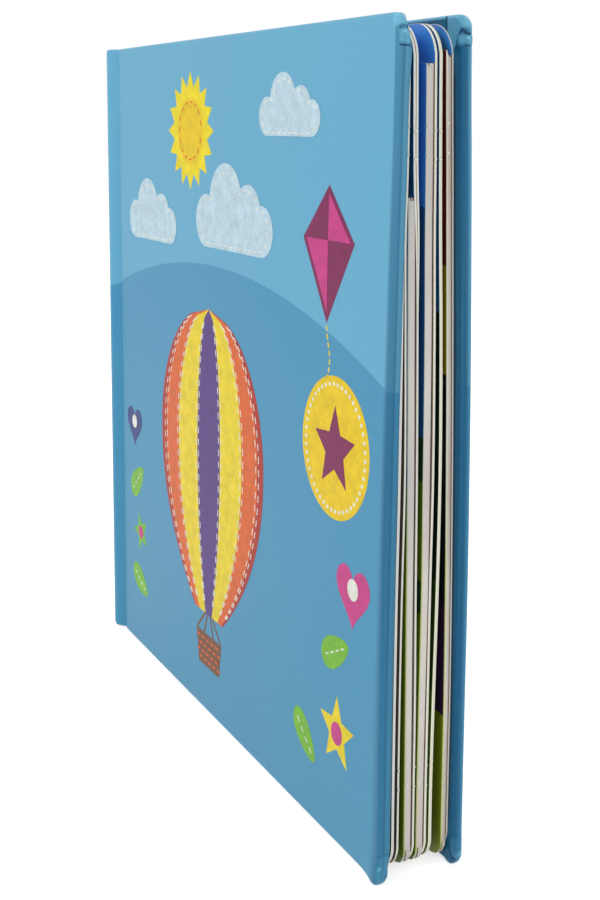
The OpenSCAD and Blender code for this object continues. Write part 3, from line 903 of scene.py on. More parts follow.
def add_slab(points, places, faces, flat, tris, lift, thick, seat, across=(1, 0)):
    """A thin closed plate: seat(u, v, w) puts a flat place at depth w into the model."""
    base, n = len(points), len(flat)
    for w, share in ((lift, across[0]), (lift + thick, across[1])):
        points += [seat(u, v, w) for u, v in flat]
        places += [(u, v, share) for u, v in flat]
    count = {}
    for a, b, c in tris:
        faces.append((base + a, base + b, base + c))
        faces.append((base + n + c, base + n + b, base + n + a))
        for e in ((a, b), (b, c), (c, a)):
            key = tuple(sorted(e))
            count[key] = None if key in count else e
    for e in count.values():
        if e:
            a, b = e
            faces.append((base + b, base + a, base + n + a, base + n + b))


# %% Folded pop-up cards
gutter_x = box_mm("popup_1")[0][0]
POPUP_PLY, POPUP_AIR, FOLD_U = 0.26, 0.03, 0.5
FOLD_STEPS, FOLD_ROWS = 8, 30
POPUPS = {"popup_1": (5, 0.25, "front"), "popup_2": (9, 0.15, "leaf_3"),
          "popup_3": (3, 0.30, "leaf_4"), "popup_4": (7, 0.20, "leaf_5")}


def half_figure(lobes, depth, reach, half_h):
    outline = []
    for i in range(97):
        a = math.radians(-90 + 180 * i / 96)
        k = 1 - depth * abs(math.sin(lobes * (a + math.pi / 2) / 2))
        outline.append((reach * k * math.cos(a), half_h * k * math.sin(a)))
    return [(0.0, -half_h)] + outline[1:-1] + [(0.0, half_h)]


def popup(name, lobes, depth):
    low, high = box_mm(name)
    reach, half_h = high[0] - gutter_x, (high[2] - low[2]) / 2
    shape = half_figure(lobes, depth, reach - FOLD_U, half_h)
    mid_z, mid_y = (low[2] + high[2]) / 2, (low[1] + high[1]) / 2
    flat, tris = filled([(u + FOLD_U, v) for u, v in shape], 6)
    points, places, faces = [], [], []
    gap = (high[1] - low[1]) / 2
    for side in (-1, 1):
        def seat(u, v, w):
            return (gutter_x + u, mid_y + side * w, mid_z + v)
        add_slab(points, places, faces, flat, tris, gap - POPUP_PLY - POPUP_AIR, POPUP_PLY,
                 seat)
    base, steps = len(points), FOLD_STEPS
    ups = [-half_h + 2 * half_h * i / FOLD_ROWS for i in range(FOLD_ROWS + 1)]
    outer_r = gap - POPUP_AIR
    for v in ups:
        for r in (outer_r, outer_r - POPUP_PLY):
            for i in range(steps + 1):
                a = math.pi * (0.5 + i / steps)
                points.append((gutter_x + FOLD_U + r * math.cos(a), mid_y + r * math.sin(a),
                               mid_z + v))
                places.append((0, v, 0.5))
    row = 2 * (steps + 1)
    for k in range(len(ups) - 1):
        a, b = base + k * row, base + (k + 1) * row
        for i in range(steps):
            faces.append((a + i, a + i + 1, b + i + 1, b + i))
            j = steps + 1
            faces.append((a + j + i + 1, a + j + i, b + j + i, b + j + i + 1))
    return make_piece(name + "_card", points, places, faces), mid_y


popups = {}
for name, (lobes, depth, follows) in POPUPS.items():
    popups[name], mid_y = popup(name, lobes, depth)
    if name in ("popup_1", "popup_4"):
        pair = ("front_cover", "block") if name == "popup_1" else ("block", "back_cover")
        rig.blend(popups[name], *pair, (0, (mid_y - 0.75) * MM, 0), (0, (mid_y + 0.75) * MM, 0))
    else:
        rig.ride(popups[name], "block")
    bow_piece(popups[name], follows)
    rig.replaces(popups[name], name)
print("pop-ups:", {n: len(p.data.polygons) for n, p in popups.items()})

# %% Which body each piece rides on, and which solids it stands for
MIDDLE_Z = cover_h / 2
for kind, side in (("front", 1), ("back", -1)):
    y = face_y * side
    span = [(x * MM, y * MM, MIDDLE_Z * MM) for x in (crease_x - 0.4, page_back)]
    hinge = [(x * MM, y * MM, MIDDLE_Z * MM) for x in (crease_x - 0.4, wall_x)]
    case = case_front if kind == "front" else case_back
    pair = (f"{kind}_cover", "block")
    if kind == "back":
        pair, span, hinge = pair[::-1], span[::-1], hinge[::-1]
    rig.blend(case, *pair, *span)
    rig.blend(pasted[kind], *pair, *hinge)
    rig.ride(boards[kind], f"{kind}_cover")
    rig.replaces(case, f"{kind}_wrap", "spine_wrap")
    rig.replaces(pasted[kind], f"{kind}_pastedown")
    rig.replaces(boards[kind], f"{kind}_board")
for piece in [page_folds, *cards.values()]:
    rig.ride(piece, "block")
    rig.replaces(piece, "page_block")
for name, piece in flaps.items():
    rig.ride(piece, "back_cover" if name == "flap_3" else "block")
    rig.replaces(piece, name)
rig.replaces(case_front, "print_sky")
print("bodies:", sorted(frame["bodies"]))

# %% [markdown]
# ## Print on the front: felt shapes
#
# The cover's picture is printed from a photo of cut felt: flat shapes with a soft, mottled
# surface, dashed stitches and a soft shadow; the shadow isn't drawn here. The rest is drawn
# as thin printed fields, one set for each solid, that lie on the cover and bow with it. Plain
# geometry keeps their edges sharp at any size, where a picture file would blur and isn't used.

# %% Helpers for printed fields
PRINT_T = 0.05
STITCH_GRID = 9


def on_cover(layer):
    """Seat for a field: u from the crease, v up from the tail, w proud of the face."""
    def seat(u, v, w):
        x = crease_x + u
        return (x, face_y + float(bow("front", x, v)) - w - PRINT_T * (layer - 1), v)
    return seat


def field(name, outlines, layer=1, grid=5.0, node=None, slot=None):
    points, places, faces = [], [], []
    for outline in outlines:
        flat, tris = filled(outline, grid)
        add_slab(points, places, faces, flat, tris, 0.0, PRINT_T, on_cover(layer))
    piece = make_piece(name, points, places, faces)
    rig.ride(piece, "front_cover")
    if node:
        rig.replaces(piece, node)
    if slot:
        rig.slot(piece, slot)
    return piece


def disc(u, v, r, n=48):
    return [(u + r * math.cos(2 * math.pi * i / n), v + r * math.sin(2 * math.pi * i / n))
            for i in range(n)]


def dash(u, v, angle, length, width):
    """A short stitch with round ends."""
    c, s = math.cos(angle), math.sin(angle)
    ends = []
    for side in (1, -1):
        for k in range(5):
            a = math.pi * (k / 4 - 0.5)
            lu = side * ((length - width) / 2 + width / 2 * math.cos(a))
            lv = side * width / 2 * math.sin(a)
            ends.append((u + lu * c - lv * s, v + lu * s + lv * c))
    return ends


def stitches(line, length, gap, width):
    """Dashes along a line of points."""
    pts = np.array(line, float)
    seg = np.hypot(*np.diff(pts, axis=0).T)
    at = np.concatenate([[0], np.cumsum(seg)])
    out, s = [], gap
    while s + length < at[-1]:
        mid = s + length / 2
        p = [np.interp(mid, at, pts[:, k]) for k in (0, 1)]
        q = [np.interp(mid + 0.3, at, pts[:, k]) for k in (0, 1)]
        out.append(dash(p[0], p[1], math.atan2(q[1] - p[1], q[0] - p[0]), length, width))
        s += length + gap
    return out


print("printed fields are", PRINT_T, "mm proud")

# %% [markdown]
# ### The balloon, its basket and ropes
#
# The big motif is a hot-air balloon in seven gores. A gore is the strip between two lines
# that run from the mouth to the crown, closer together near the rim, as on a round balloon
# seen from the side. White stitches follow the seams.

# %% The balloon
BALLOON = dict(u=76.0, v=79.0, r=38.0)
UP_SHARE, DOWN_SHARE = 1.05, 1.3
GORE_COUNT = 7
ball_up, ball_down = BALLOON["r"] * UP_SHARE, BALLOON["r"] * DOWN_SHARE


def balloon_width(t):
    return math.sqrt(max(1 - t * t, 0)) if t > 0 else 1 - 0.72 * (-t) ** 2.2


def balloon_point(k, t):
    return (BALLOON["u"] + k * BALLOON["r"] * balloon_width(t),
            BALLOON["v"] + t * (ball_up if t > 0 else ball_down))


def seam(i):
    return math.sin(math.radians(-90 + 180 * i / GORE_COUNT))


def gore(i, n=28):
    ts = [-1 + 2 * k / n for k in range(n + 1)]
    right = [balloon_point(seam(i + 1), t) for t in ts]
    left = [balloon_point(seam(i), t) for t in reversed(ts[:-1])]
    return right + left


GORES = {"red": (0, 6), "orange": (1, 5), "yellow": (2, 4), "purple": (3,)}
gores = {c: field(f"gores_{c}", [gore(i) for i in which], node=f"print_gores_{c}",
                  slot=f"ink_{c}") for c, which in GORES.items()}
seam_dashes = []
for i in range(1, GORE_COUNT):
    for off in (-0.9, 0.9):
        line = [balloon_point(seam(i) + off / BALLOON["r"], t)
                for t in np.linspace(-0.96, 0.93, 40)]
        seam_dashes += stitches(line, 2.0, 1.5, 0.42)
balloon_stitches = field("balloon_stitches", seam_dashes, layer=2, grid=STITCH_GRID)
basket_top = BALLOON["v"] - ball_down - BALLOON["r"] * 0.16
b_r = BALLOON["r"]
basket = [(-0.2, -0.26), (0.2, -0.26), (0.25, 0), (-0.25, 0)]
basket_piece = field("basket", [[(BALLOON["u"] + p[0] * b_r, basket_top + p[1] * b_r)
                                 for p in basket]], node="print_basket", slot="ink_brown")
ropes = []
for k in (-0.24, -0.09, 0.09, 0.24):
    u0, v0 = BALLOON["u"] + k * b_r, basket_top
    u1, v1 = balloon_point(k, -0.999)
    mid = ((u0 + u1) / 2, (v0 + v1) / 2)
    ropes.append(dash(mid[0], mid[1], math.atan2(v1 - v0, u1 - u0), math.dist((u0, v0), (u1, v1)),
                      0.8))
rope_piece = field("ropes", ropes, layer=1, grid=STITCH_GRID)
weave = []
for row in range(4):
    for k in range(5):
        u = BALLOON["u"] + (k - 2 + 0.5 * (row % 2) - 0.25) * 3.4
        weave.append(dash(u, basket_top - 1.8 - row * 2.1, 0.0, 2.2, 0.7))
weave_piece = field("basket_weave", weave, layer=2, grid=STITCH_GRID)
print("balloon:", len(seam_dashes), "stitches")

# %% Sun, clouds and kite
SUN = dict(u=62.0, v=169.0, r=17.0)
RAYS = 16
sun = []
for i in range(2 * RAYS):
    r = SUN["r"] * (1 if i % 2 == 0 else 0.74)
    a = math.pi * i / RAYS
    sun.append((SUN["u"] + r * math.cos(a), SUN["v"] + r * math.sin(a)))
sun_piece = field("sun", [sun], node="print_sun", slot="ink_sun")
sun_heart = field("sun_disc", [disc(SUN["u"], SUN["v"], 9.6)], layer=2)
sun_ring = field("sun_stitches", stitches(disc(SUN["u"], SUN["v"], 8.2, 60), 1.9, 1.4, 0.45),
                 layer=3, grid=STITCH_GRID)

CLOUDS = [(30, 54, 12), (92, 51, 15), (126, 22, 10)]


def cloud_outline(u, drop, size, n=220):
    """The rim of five overlapping puffs and a flat base, found from the middle outwards."""
    v = cover_h - drop
    puffs = [(-1.2, 0, 0.5), (-0.3, 0.35, 0.75), (0.7, 0.2, 0.55), (1.3, -0.05, 0.45)]
    out = []
    for i in range(n):
        a = 2 * math.pi * i / n
        c, s = math.cos(a), math.sin(a)
        best = 0
        for k in np.arange(0.05, 2.2, 0.01):
            pu, pv = k * c, k * s
            solid = any((pu - x) ** 2 + (pv - y) ** 2 <= r * r for x, y, r in puffs)
            if solid or (abs(pu) <= 1.3 and -0.5 <= pv <= 0.4):
                best = k
        out.append((u + size * best * c, v + size * best * s))
    return out


clouds = [cloud_outline(*c) for c in CLOUDS]
cloud_piece = field("clouds", clouds, node="print_clouds", slot="ink_cloud", layer=2)
cloud_stitch = []
for (u, drop, size), rim in zip(CLOUDS, clouds):
    cu, cv = u, cover_h - drop
    inner = [(cu + (p[0] - cu) * 0.88, cv + (p[1] - cv) * 0.84) for p in rim + rim[:1]]
    cloud_stitch += stitches(inner, 1.8, 1.5, 0.4)
cloud_stitches = field("cloud_stitches", cloud_stitch, layer=3, grid=STITCH_GRID)

KITE = dict(u=148.7, v=144.0, r=13.0)
ku, kv, kr = KITE["u"], KITE["v"], KITE["r"]
kite_rim = [(ku, kv - 1.5 * kr), (ku + kr, kv), (ku, kv + kr), (ku - kr, kv)]
kite_piece = field("kite", [kite_rim], node="print_kite", slot="ink_kite")
kite_panels = field("kite_panels", [[(ku, kv), (ku + kr * 0.86, kv), (ku, kv + kr * 0.86)],
                                    [(ku, kv), (ku - kr * 0.86, kv), (ku, kv - 1.3 * kr)]],
                    layer=2)
tail_line = [(ku + 5.5 * math.sin(t * 5.2) * t, kv - 1.5 * kr - 23 * t) for t in
             np.linspace(0, 1, 40)]
kite_tail = field("kite_tail", stitches(tail_line, 1.5, 0.5, 0.6), layer=1, grid=STITCH_GRID)
print("clouds:", len(clouds), "with", len(cloud_stitch), "stitches")

# %% [markdown]
# ### The badge and the small shapes
#
# The round yellow badge has a dotted white border, as a sticker would. What is written in
# the badge of a shop copy isn't part of a plain book, so a plain star stands there. Small
# leaves, hearts and stars fill the corners at the foot.

# %% Badge, leaves, hearts and stars
BADGE = dict(u=154.1, v=95.6, r=17.0)


def star(u, v, r, points=5, deep=0.45, turn=90.0):
    out = []
    for i in range(2 * points):
        a = math.radians(turn + 180 * i / points)
        k = r if i % 2 == 0 else r * deep
        out.append((u + k * math.cos(a), v + k * math.sin(a)))
    return out


def heart(u, v, r, n=40):
    out = []
    for i in range(n):
        t = 2 * math.pi * i / n
        out.append((u + r * math.sin(t) ** 3,
                    v + r * (13 * math.cos(t) - 5 * math.cos(2 * t) - 2 * math.cos(3 * t)
                             - math.cos(4 * t)) / 16))
    return out


def leaf_shape(u, v, turn, length=15.0, n=32):
    c, s = math.cos(math.radians(turn)), math.sin(math.radians(turn))
    out = []
    for i in range(n):
        a = 2 * math.pi * i / n
        lu = length / 2 * math.cos(a)
        lv = length / 4 * math.sin(a) * (1 - 0.3 * math.cos(a))
        out.append((u + lu * c - lv * s, v + lu * s + lv * c))
    return out


badge_piece = field("badge", [disc(BADGE["u"], BADGE["v"], BADGE["r"], 72)],
                    node="print_badge", slot="ink_badge")
BORDER_R, BORDER_DOTS, DOT_R = 15.05, 46, 0.52
border = [disc(u, v, DOT_R, 10)
          for u, v in disc(BADGE["u"], BADGE["v"], BORDER_R, BORDER_DOTS)]
badge_ring = field("badge_dots", border, layer=2, node="print_badge_ring", slot="ink_ring",
                   grid=STITCH_GRID)
badge_star = field("badge_star", [star(BADGE["u"], BADGE["v"] - 0.4, 10.5)], layer=2)

LEAVES_AT = [(14, 55, 40), (16, 22, -25), (156, 47, 25), (140, 20, -40)]
leaf_piece = field("leaves", [leaf_shape(*l) for l in LEAVES_AT], node="print_leaves",
                   slot="ink_leaf")
veins = []
for u, v, turn in LEAVES_AT:
    a = math.radians(turn)
    line = [(u + k * math.cos(a), v + k * math.sin(a)) for k in np.linspace(-6.4, 6.4, 12)]
    veins += stitches(line, 1.7, 1.2, 0.4)
leaf_veins = field("leaf_stitches", veins, layer=2, grid=STITCH_GRID)
pink_heart = field("heart_pink", [heart(164.5, 63.5, 8.2)])
blue_heart = field("heart_blue", [heart(12.0, 73.5, 7.0)])
yellow_star = field("star_yellow", [star(157.5, 27.5, 9.0)])
green_star = field("star_green", [star(17.0, 38.5, 6.6, turn=110)])
heart_dots = field("small_dots", [disc(u, v, r, 20) for u, v, r in (
    (164.5, 64.5, 2.6), (12.0, 74.3, 2.2))], layer=2)
star_dots = field("star_dots", [disc(157.5, 27.3, 2.8, 24), disc(17.0, 38.4, 2.1, 20)], layer=2)
print("badge dots:", len(border))

# %% [markdown]
# ## Materials
#
# Every finish is built from nodes. Print is ink under a clear film: the colour field comes
# from the place on the sheet, a fine mottle breaks it up, and the film is a coat with a
# faint orange-peel. Card is white, with grain, and its cut edges show the plies. The
# helpers below keep each material to a few readable lines.

# %% Node helpers


def srgb(r, g, b):
    """A colour as it looks on screen, 0 to 255, as Blender's linear numbers."""
    def lin(c):
        c /= 255
        return c / 12.92 if c <= 0.04045 else ((c + 0.055) / 1.055) ** 2.4
    return (lin(r), lin(g), lin(b), 1.0)


class Graph:
    """A small builder for one material's nodes."""

    def __init__(self, name):
        self.mat = bpy.data.materials.new(name)
        self.mat.use_nodes = True
        self.tree = self.mat.node_tree
        self.shader = self.tree.nodes["Principled BSDF"]

    def node(self, kind, **values):
        made = self.tree.nodes.new(kind)
        for key, value in values.items():
            setattr(made, key, value)
        return made

    def put(self, socket, value):
        if isinstance(value, bpy.types.NodeSocket):
            self.tree.links.new(value, socket)
        elif value is not None:
            socket.default_value = value

    def math(self, kind, a, b=None, c=None, clamp=False):
        made = self.node("ShaderNodeMath", operation=kind, use_clamp=clamp)
        for socket, value in zip(made.inputs, (a, b, c)):
            self.put(socket, value)
        return made.outputs[0]

    def mix(self, share, a, b, kind="MIX"):
        made = self.node("ShaderNodeMix", data_type="RGBA", blend_type=kind)
        self.put(made.inputs[0], share)
        self.put(made.inputs[6], a)
        self.put(made.inputs[7], b)
        return made.outputs[2]

    def place(self):
        made = self.node("ShaderNodeAttribute", attribute_name="place")
        split = self.node("ShaderNodeSeparateXYZ")
        self.put(split.inputs[0], made.outputs["Vector"])
        return made.outputs["Vector"], split.outputs[0], split.outputs[1], split.outputs[2]

    def noise(self, vector, scale, detail=3.0, rough=0.55, stretch=None):
        if stretch:
            shape = self.node("ShaderNodeVectorMath", operation="MULTIPLY")
            self.put(shape.inputs[0], vector)
            shape.inputs[1].default_value = stretch
            vector = shape.outputs[0]
        made = self.node("ShaderNodeTexNoise")
        self.put(made.inputs["Vector"], vector)
        made.inputs["Scale"].default_value = scale
        made.inputs["Detail"].default_value = detail
        made.inputs["Roughness"].default_value = rough
        return made.outputs["Fac"]

    def span(self, value, a, b, to_a=0.0, to_b=1.0):
        made = self.node("ShaderNodeMapRange")
        for socket, v in zip(made.inputs, (value, a, b, to_a, to_b)):
            self.put(socket, v)
        return made.outputs[0]

    def bump(self, height, strength, distance):
        made = self.node("ShaderNodeBump")
        made.inputs["Strength"].default_value = strength
        made.inputs["Distance"].default_value = distance
        self.put(made.inputs["Height"], height)
        self.put(self.shader.inputs["Normal"], made.outputs[0])
        return made.outputs[0]

    def finish(self, colour, rough, coat=0.0, coat_rough=0.1, specular=0.5):
        self.put(self.shader.inputs["Base Color"], colour)
        self.put(self.shader.inputs["Roughness"], rough)
        self.shader.inputs["Specular IOR Level"].default_value = specular
        self.shader.inputs["Coat Weight"].default_value = coat
        self.shader.inputs["Coat Roughness"].default_value = coat_rough
        return self.mat


def give(piece, mat):
    piece.data.materials.clear()
    piece.data.materials.append(mat)


# %% [markdown]
# ### The laminated case
# Two blues meet on a hill line: a pale sky above and a deeper ground below. The line is an
# arc of a circle, so the node tree measures the distance to the circle's centre.
# joint the film catches less of the soft light, and the blue is deeper there by nature.
# Where the sheet is turned in over the fore-edges, in its creases and along the pasted page's
# edge, shade is painted into the ink as a deeper blue, and the pillows and corner tips get a
# painted highlight, both from the attribute kept with the folds. A little rubbing along the
# edges shows white.

# %% Case material
SKY = srgb(98, 172, 206)
SKY_HIGH = srgb(101, 173, 206)
GROUND = srgb(66, 146, 186)
GROUND_LOW = srgb(70, 147, 183)
# The deeper blue of the painted shade on the fore-edge band and inner margin, then the near black of the painted shade
# in the creases.
EDGE_SHADE_BLUE = srgb(20, 90, 128)
CREASE_SHADE_BLUE = srgb(6, 30, 46)
HILL_U, HILL_V, HILL_R = 80.0, -138.5, 270.0


def blue_field(g, u, v):
    """The cover's two blues, as a colour socket."""
    du = g.math("SUBTRACT", u, HILL_U * MM)
    dv = g.math("SUBTRACT", v, HILL_V * MM)
    far = g.math("SQRT", g.math("ADD", g.math("MULTIPLY", du, du), g.math("MULTIPLY", dv, dv)))
    above = g.span(far, (HILL_R - 0.12) * MM, (HILL_R + 0.12) * MM)
    sky = g.mix(g.span(v, 0.12, 0.19), SKY, SKY_HIGH)
    ground = g.mix(g.span(v, 0.0, 0.1), GROUND_LOW, GROUND)
    return g.mix(above, ground, sky)


def case_material():
    g = Graph("laminated_print_blue")
    spot, u, v, w = g.place()
    colour = blue_field(g, u, v)
    mottle = g.noise(spot, 900, 2)
    colour = g.mix(g.span(mottle, 0.3, 0.7, 0.0, 0.03), colour, srgb(210, 230, 240))
    # The painted shade and painted highlight kept with the folds.
    folds = g.node("ShaderNodeAttribute", attribute_name="fold_tone")
    shade_and_highlight = g.node("ShaderNodeSeparateXYZ")
    g.put(shade_and_highlight.inputs[0], folds.outputs["Vector"])
    streak = g.noise(spot, 1, 3, stretch=(150.0, 9.0, 3.0))
    deep = g.math("MULTIPLY", shade_and_highlight.outputs[0], g.span(streak, 0.3, 0.7, 0.86, 1.08))
    # Painted shade: the fore-edge band, the inner margin and the outer face near the fore-edge take a deeper blue.
    colour = g.mix(g.span(deep, 0.0, 1.0), colour, EDGE_SHADE_BLUE)
    # Painted shade: the creases and the line along the pasted page's edge go nearly black.
    colour = g.mix(g.span(deep, 1.0, 1.5, 0.0, 0.85), colour, CREASE_SHADE_BLUE)
    # Painted highlight: the pillows, corner tips, glints and tucked fold take a paler blue.
    colour = g.mix(shade_and_highlight.outputs[1], colour, srgb(128, 206, 234))
    worn = g.noise(spot, 420, 4)
    edge = g.span(g.math("ABSOLUTE", g.math("SUBTRACT", w, 0.5)), 0.49, 0.40)
    rub = g.math("MULTIPLY", g.span(worn, 0.62, 0.74), g.math("MULTIPLY", edge, 0.12))
    colour = g.mix(rub, colour, srgb(190, 214, 226))
    peel = g.noise(spot, 260, 2)
    fine = g.noise(spot, 2400, 2)
    g.bump(g.math("ADD", peel, g.math("MULTIPLY", fine, 0.25)), 0.12, 0.0004)
    return g.finish(colour, g.span(mottle, 0.3, 0.7, 0.42, 0.48), coat=0.05, coat_rough=0.2,
                    specular=0.16)


case_print = case_material()
for piece in (case_front, case_back):
    give(piece, case_print)
    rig.slot(piece, "case_print")
give(frame["nodes"]["spine_wrap"], case_print)
print("case material:", len(case_print.node_tree.nodes), "nodes")

# %% [markdown]
# ### Felt inks
#
# Printed felt is one colour broken up by cloudy tone and by short fibres. Two noises do
# that, a slow one and a fine stretched one, and the same clear film lies over it as over
# the rest of the cover.

# %% Felt ink materials


def felt(name, base, dark, light):
    g = Graph(name)
    spot = g.place()[0]
    cloudy = g.noise(spot, 260, 3)
    fibre = g.noise(spot, 1500, 4, 0.7, stretch=(1.0, 0.45, 1.0))
    colour = g.mix(g.span(cloudy, 0.35, 0.68), dark, base)
    colour = g.mix(g.span(fibre, 0.48, 0.78, 0.0, 0.55), colour, light)
    colour = g.mix(g.span(fibre, 0.52, 0.28, 0.0, 0.35), colour, dark)
    g.bump(g.noise(spot, 260, 2), 0.10, 0.0004)
    return g.finish(colour, 0.45, coat=0.05, coat_rough=0.2, specular=0.16)


def tone(rgb, k):
    return srgb(*[min(255, max(0, c * k + (8 if k > 1 else 0))) for c in rgb])


def felt_of(name, rgb):
    return felt(name, srgb(*rgb), tone(rgb, 0.91), tone(rgb, 1.1))


INKS = {
    "felt_red": (178, 42, 22), "felt_orange": (228, 102, 34), "felt_yellow": (246, 218, 30),
    "felt_purple": (84, 48, 128), "felt_plum": (128, 28, 84), "felt_lime": (122, 190, 44),
    "felt_pink": (206, 62, 138), "felt_navy": (34, 56, 124), "felt_cream": (244, 244, 232),
    "felt_cloud": (196, 224, 238), "felt_brown": (118, 72, 40), "felt_sun": (250, 226, 16),
    "felt_gold": (246, 208, 16),
}
inks = {name: felt_of(name, rgb) for name, rgb in INKS.items()}
for piece, ink in (
        (gores["red"], "felt_red"), (gores["orange"], "felt_orange"),
        (gores["yellow"], "felt_yellow"), (gores["purple"], "felt_purple"),
        (balloon_stitches, "felt_cream"), (basket_piece, "felt_brown"),
        (rope_piece, "felt_brown"), (weave_piece, "felt_orange"), (sun_piece, "felt_sun"),
        (sun_heart, "felt_gold"), (sun_ring, "felt_orange"), (cloud_piece, "felt_cloud"),
        (cloud_stitches, "felt_cream"), (kite_piece, "felt_plum"), (kite_panels, "felt_pink"),
        (kite_tail, "felt_yellow"), (badge_piece, "felt_gold"), (badge_ring, "felt_cream"),
        (badge_star, "felt_plum"), (leaf_piece, "felt_lime"), (leaf_veins, "felt_cream"),
        (pink_heart, "felt_pink"), (blue_heart, "felt_navy"), (yellow_star, "felt_yellow"),
        (green_star, "felt_lime"), (heart_dots, "felt_cream"), (star_dots, "felt_pink")):
    give(piece, inks[ink])
print("felt inks:", len(inks))

# %% [markdown]
# ### Pages
#
# A page is printed card: bands of colour from head to tail with wavy borders, as fields and
# hills are drawn, and a scatter of dots. The cut edge is bare white card with a hair line in
# the middle, where the two sheets are glued. On the third card the line is wider, and towards
# the head, where its sheets have come apart, it darkens as painted shade in the opening.
# Across the sheet the place runs from 0 on the front to 1 on the back, which tells face from
# edge.

# %% Page materials
# The printed dots stop this far inside the fore-edge, in mm.
DOT_MARGIN = 14
# A brown tone for the page's face near the fore-edge, up to where a flap lies on it.
UNDER_FLAP_BROWN = srgb(152, 134, 112)


def bands(g, u, v, spot, stops, dots):
    """Bands of colour by height; stops are (height, colour), from the tail up."""
    wave = g.noise(spot, 14, 1, stretch=(1.0, 0.15, 0.0))
    height = g.math("ADD", v, g.span(wave, 0.3, 0.7, -0.006, 0.006))
    ramp_node = g.node("ShaderNodeValToRGB")
    ramp_node.color_ramp.interpolation = "CONSTANT"
    elements = ramp_node.color_ramp.elements
    while len(elements) < len(stops):
        elements.new(0.5)
    for e, (h, rgb) in zip(elements, stops):
        e.position = h / 195
        e.color = srgb(*rgb)
    g.put(ramp_node.inputs[0], g.math("DIVIDE", height, cover_h * MM))
    cells = g.node("ShaderNodeTexVoronoi")
    g.put(cells.inputs["Vector"], spot)
    cells.inputs["Scale"].default_value = 62
    dot = g.span(cells.outputs["Distance"], 0.16, 0.13)
    inland = g.span(u, (cover_w - DOT_MARGIN) * MM, (cover_w - DOT_MARGIN - 2) * MM)
    soft = g.math("MULTIPLY", g.math("MULTIPLY", dot, inland), 0.75)
    return g.mix(soft, ramp_node.outputs[0], srgb(*dots))


def page_material(name, front, back, edge_tint, dots=(235, 240, 235), seam=0.06,
                  pasted_to=0, both=False):
    """pasted_to is the height up to which a flap lies on the fore-edge strip of the page."""
    g = Graph(name)
    spot, u, v, w = g.place()
    face_front = bands(g, u, v, spot, front, dots)
    face_back = bands(g, u, v, spot, back, dots)
    printed = g.mix(g.span(w, 0.45, 0.55), face_front, face_back)
    if pasted_to:
        strip = g.math("MULTIPLY", g.span(u, (page_fore - crease_x - 6) * MM,
                                          (page_fore - crease_x - 5) * MM),
                       g.span(v, (pasted_to + 0.1) * MM, (pasted_to - 0.1) * MM))
        if not both:
            strip = g.math("MULTIPLY", strip, g.span(w, 0.55, 0.45))
        printed = g.mix(strip, printed, UNDER_FLAP_BROWN)
    streak = g.noise(spot, 700, 3, stretch=(1.0, 0.05, 1.0))
    card = g.mix(g.span(streak, 0.35, 0.7), srgb(*edge_tint), srgb(250, 250, 248))
    # The glue line, a little stronger towards the tail; on the third card it is wider, and darkens towards the head as
    # painted shade where its sheets part.
    open_high = g.span(v, 0.126, 0.150, 0.4, 1.0) if seam > 0.1 else g.span(
        v, 0.075, 0.055, 0.30, 0.55)
    off = g.math("ABSOLUTE", g.math("SUBTRACT", w, 0.5))
    seam_line = g.math("MULTIPLY", g.span(off, seam, seam * 0.5), open_high)
    card = g.mix(seam_line, card, srgb(112, 98, 78))
    rim = g.span(off, 0.46, 0.485)
    colour = g.mix(rim, card, printed)
    g.bump(g.noise(spot, 1800, 3), 0.08, 0.0003)
    return g.finish(colour, 0.42, coat=0.12, coat_rough=0.25)


NAVY, BLUE = (32, 92, 146), (58, 134, 214)
OLIVE, DARK_GREEN = (96, 122, 10), (26, 66, 24)
BROWN, BLACK, PLUM, TAUPE = (104, 26, 18), (18, 20, 26), (52, 24, 62), (120, 104, 92)
SPREADS = {
    1: [(0, (62, 100, 40)), (14, (146, 170, 160)), (88, (150, 208, 232))],
    2: [(0, TAUPE), (150, NAVY)],
    3: [(0, OLIVE), (88, NAVY)],
    4: [(0, OLIVE), (58, DARK_GREEN), (66, OLIVE), (89, DARK_GREEN), (99, NAVY), (150, BLUE)],
    5: [(0, (84, 112, 14)), (40, (40, 70, 16)), (66, (16, 36, 20)), (127, NAVY)],
    6: [(0, (124, 138, 20)), (33, PLUM), (60, BLACK), (112, (150, 140, 20)), (137, BROWN)],
    "last page": [(0, (124, 138, 20)), (40, (150, 170, 40)), (104, (96, 170, 220)),
                  (150, BLUE)],
}
EDGE_TINTS = {1: (236, 234, 226), 2: (232, 232, 212), 3: (232, 230, 210), 4: (232, 228, 200),
              5: (234, 228, 186)}
PASTED_FLAPS = {3: "flap_1", 4: "flap_2"}
for k in range(1, 6):
    give(cards[f"leaf_{k}"], page_material(
        f"printed_card_{k}", SPREADS[k], SPREADS[k + 1], EDGE_TINTS[k],
        seam=0.11 if k == 3 else 0.06,
        pasted_to=box_mm(PASTED_FLAPS[k])[1][2] if k in PASTED_FLAPS else 0))
    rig.slot(cards[f"leaf_{k}"], "page_card")
give(page_folds, page_material("printed_card_folds", SPREADS[3], SPREADS[3], EDGE_TINTS[3]))
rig.slot(page_folds, "page_card")
give(pasted["front"], page_material("pasted_card_front", SPREADS[1], SPREADS[1],
                                    EDGE_TINTS[1]))
give(pasted["back"], page_material("pasted_card_back", SPREADS["last page"],
                                   SPREADS["last page"], (206, 194, 176),
                                   pasted_to=box_mm("flap_3")[1][2] - 1.2, both=True))
for piece in pasted.values():
    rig.slot(piece, "pastedown_card")
print("pages:", len(SPREADS), "spreads")

# %% Flap card: pale folded board with faint upright streaks


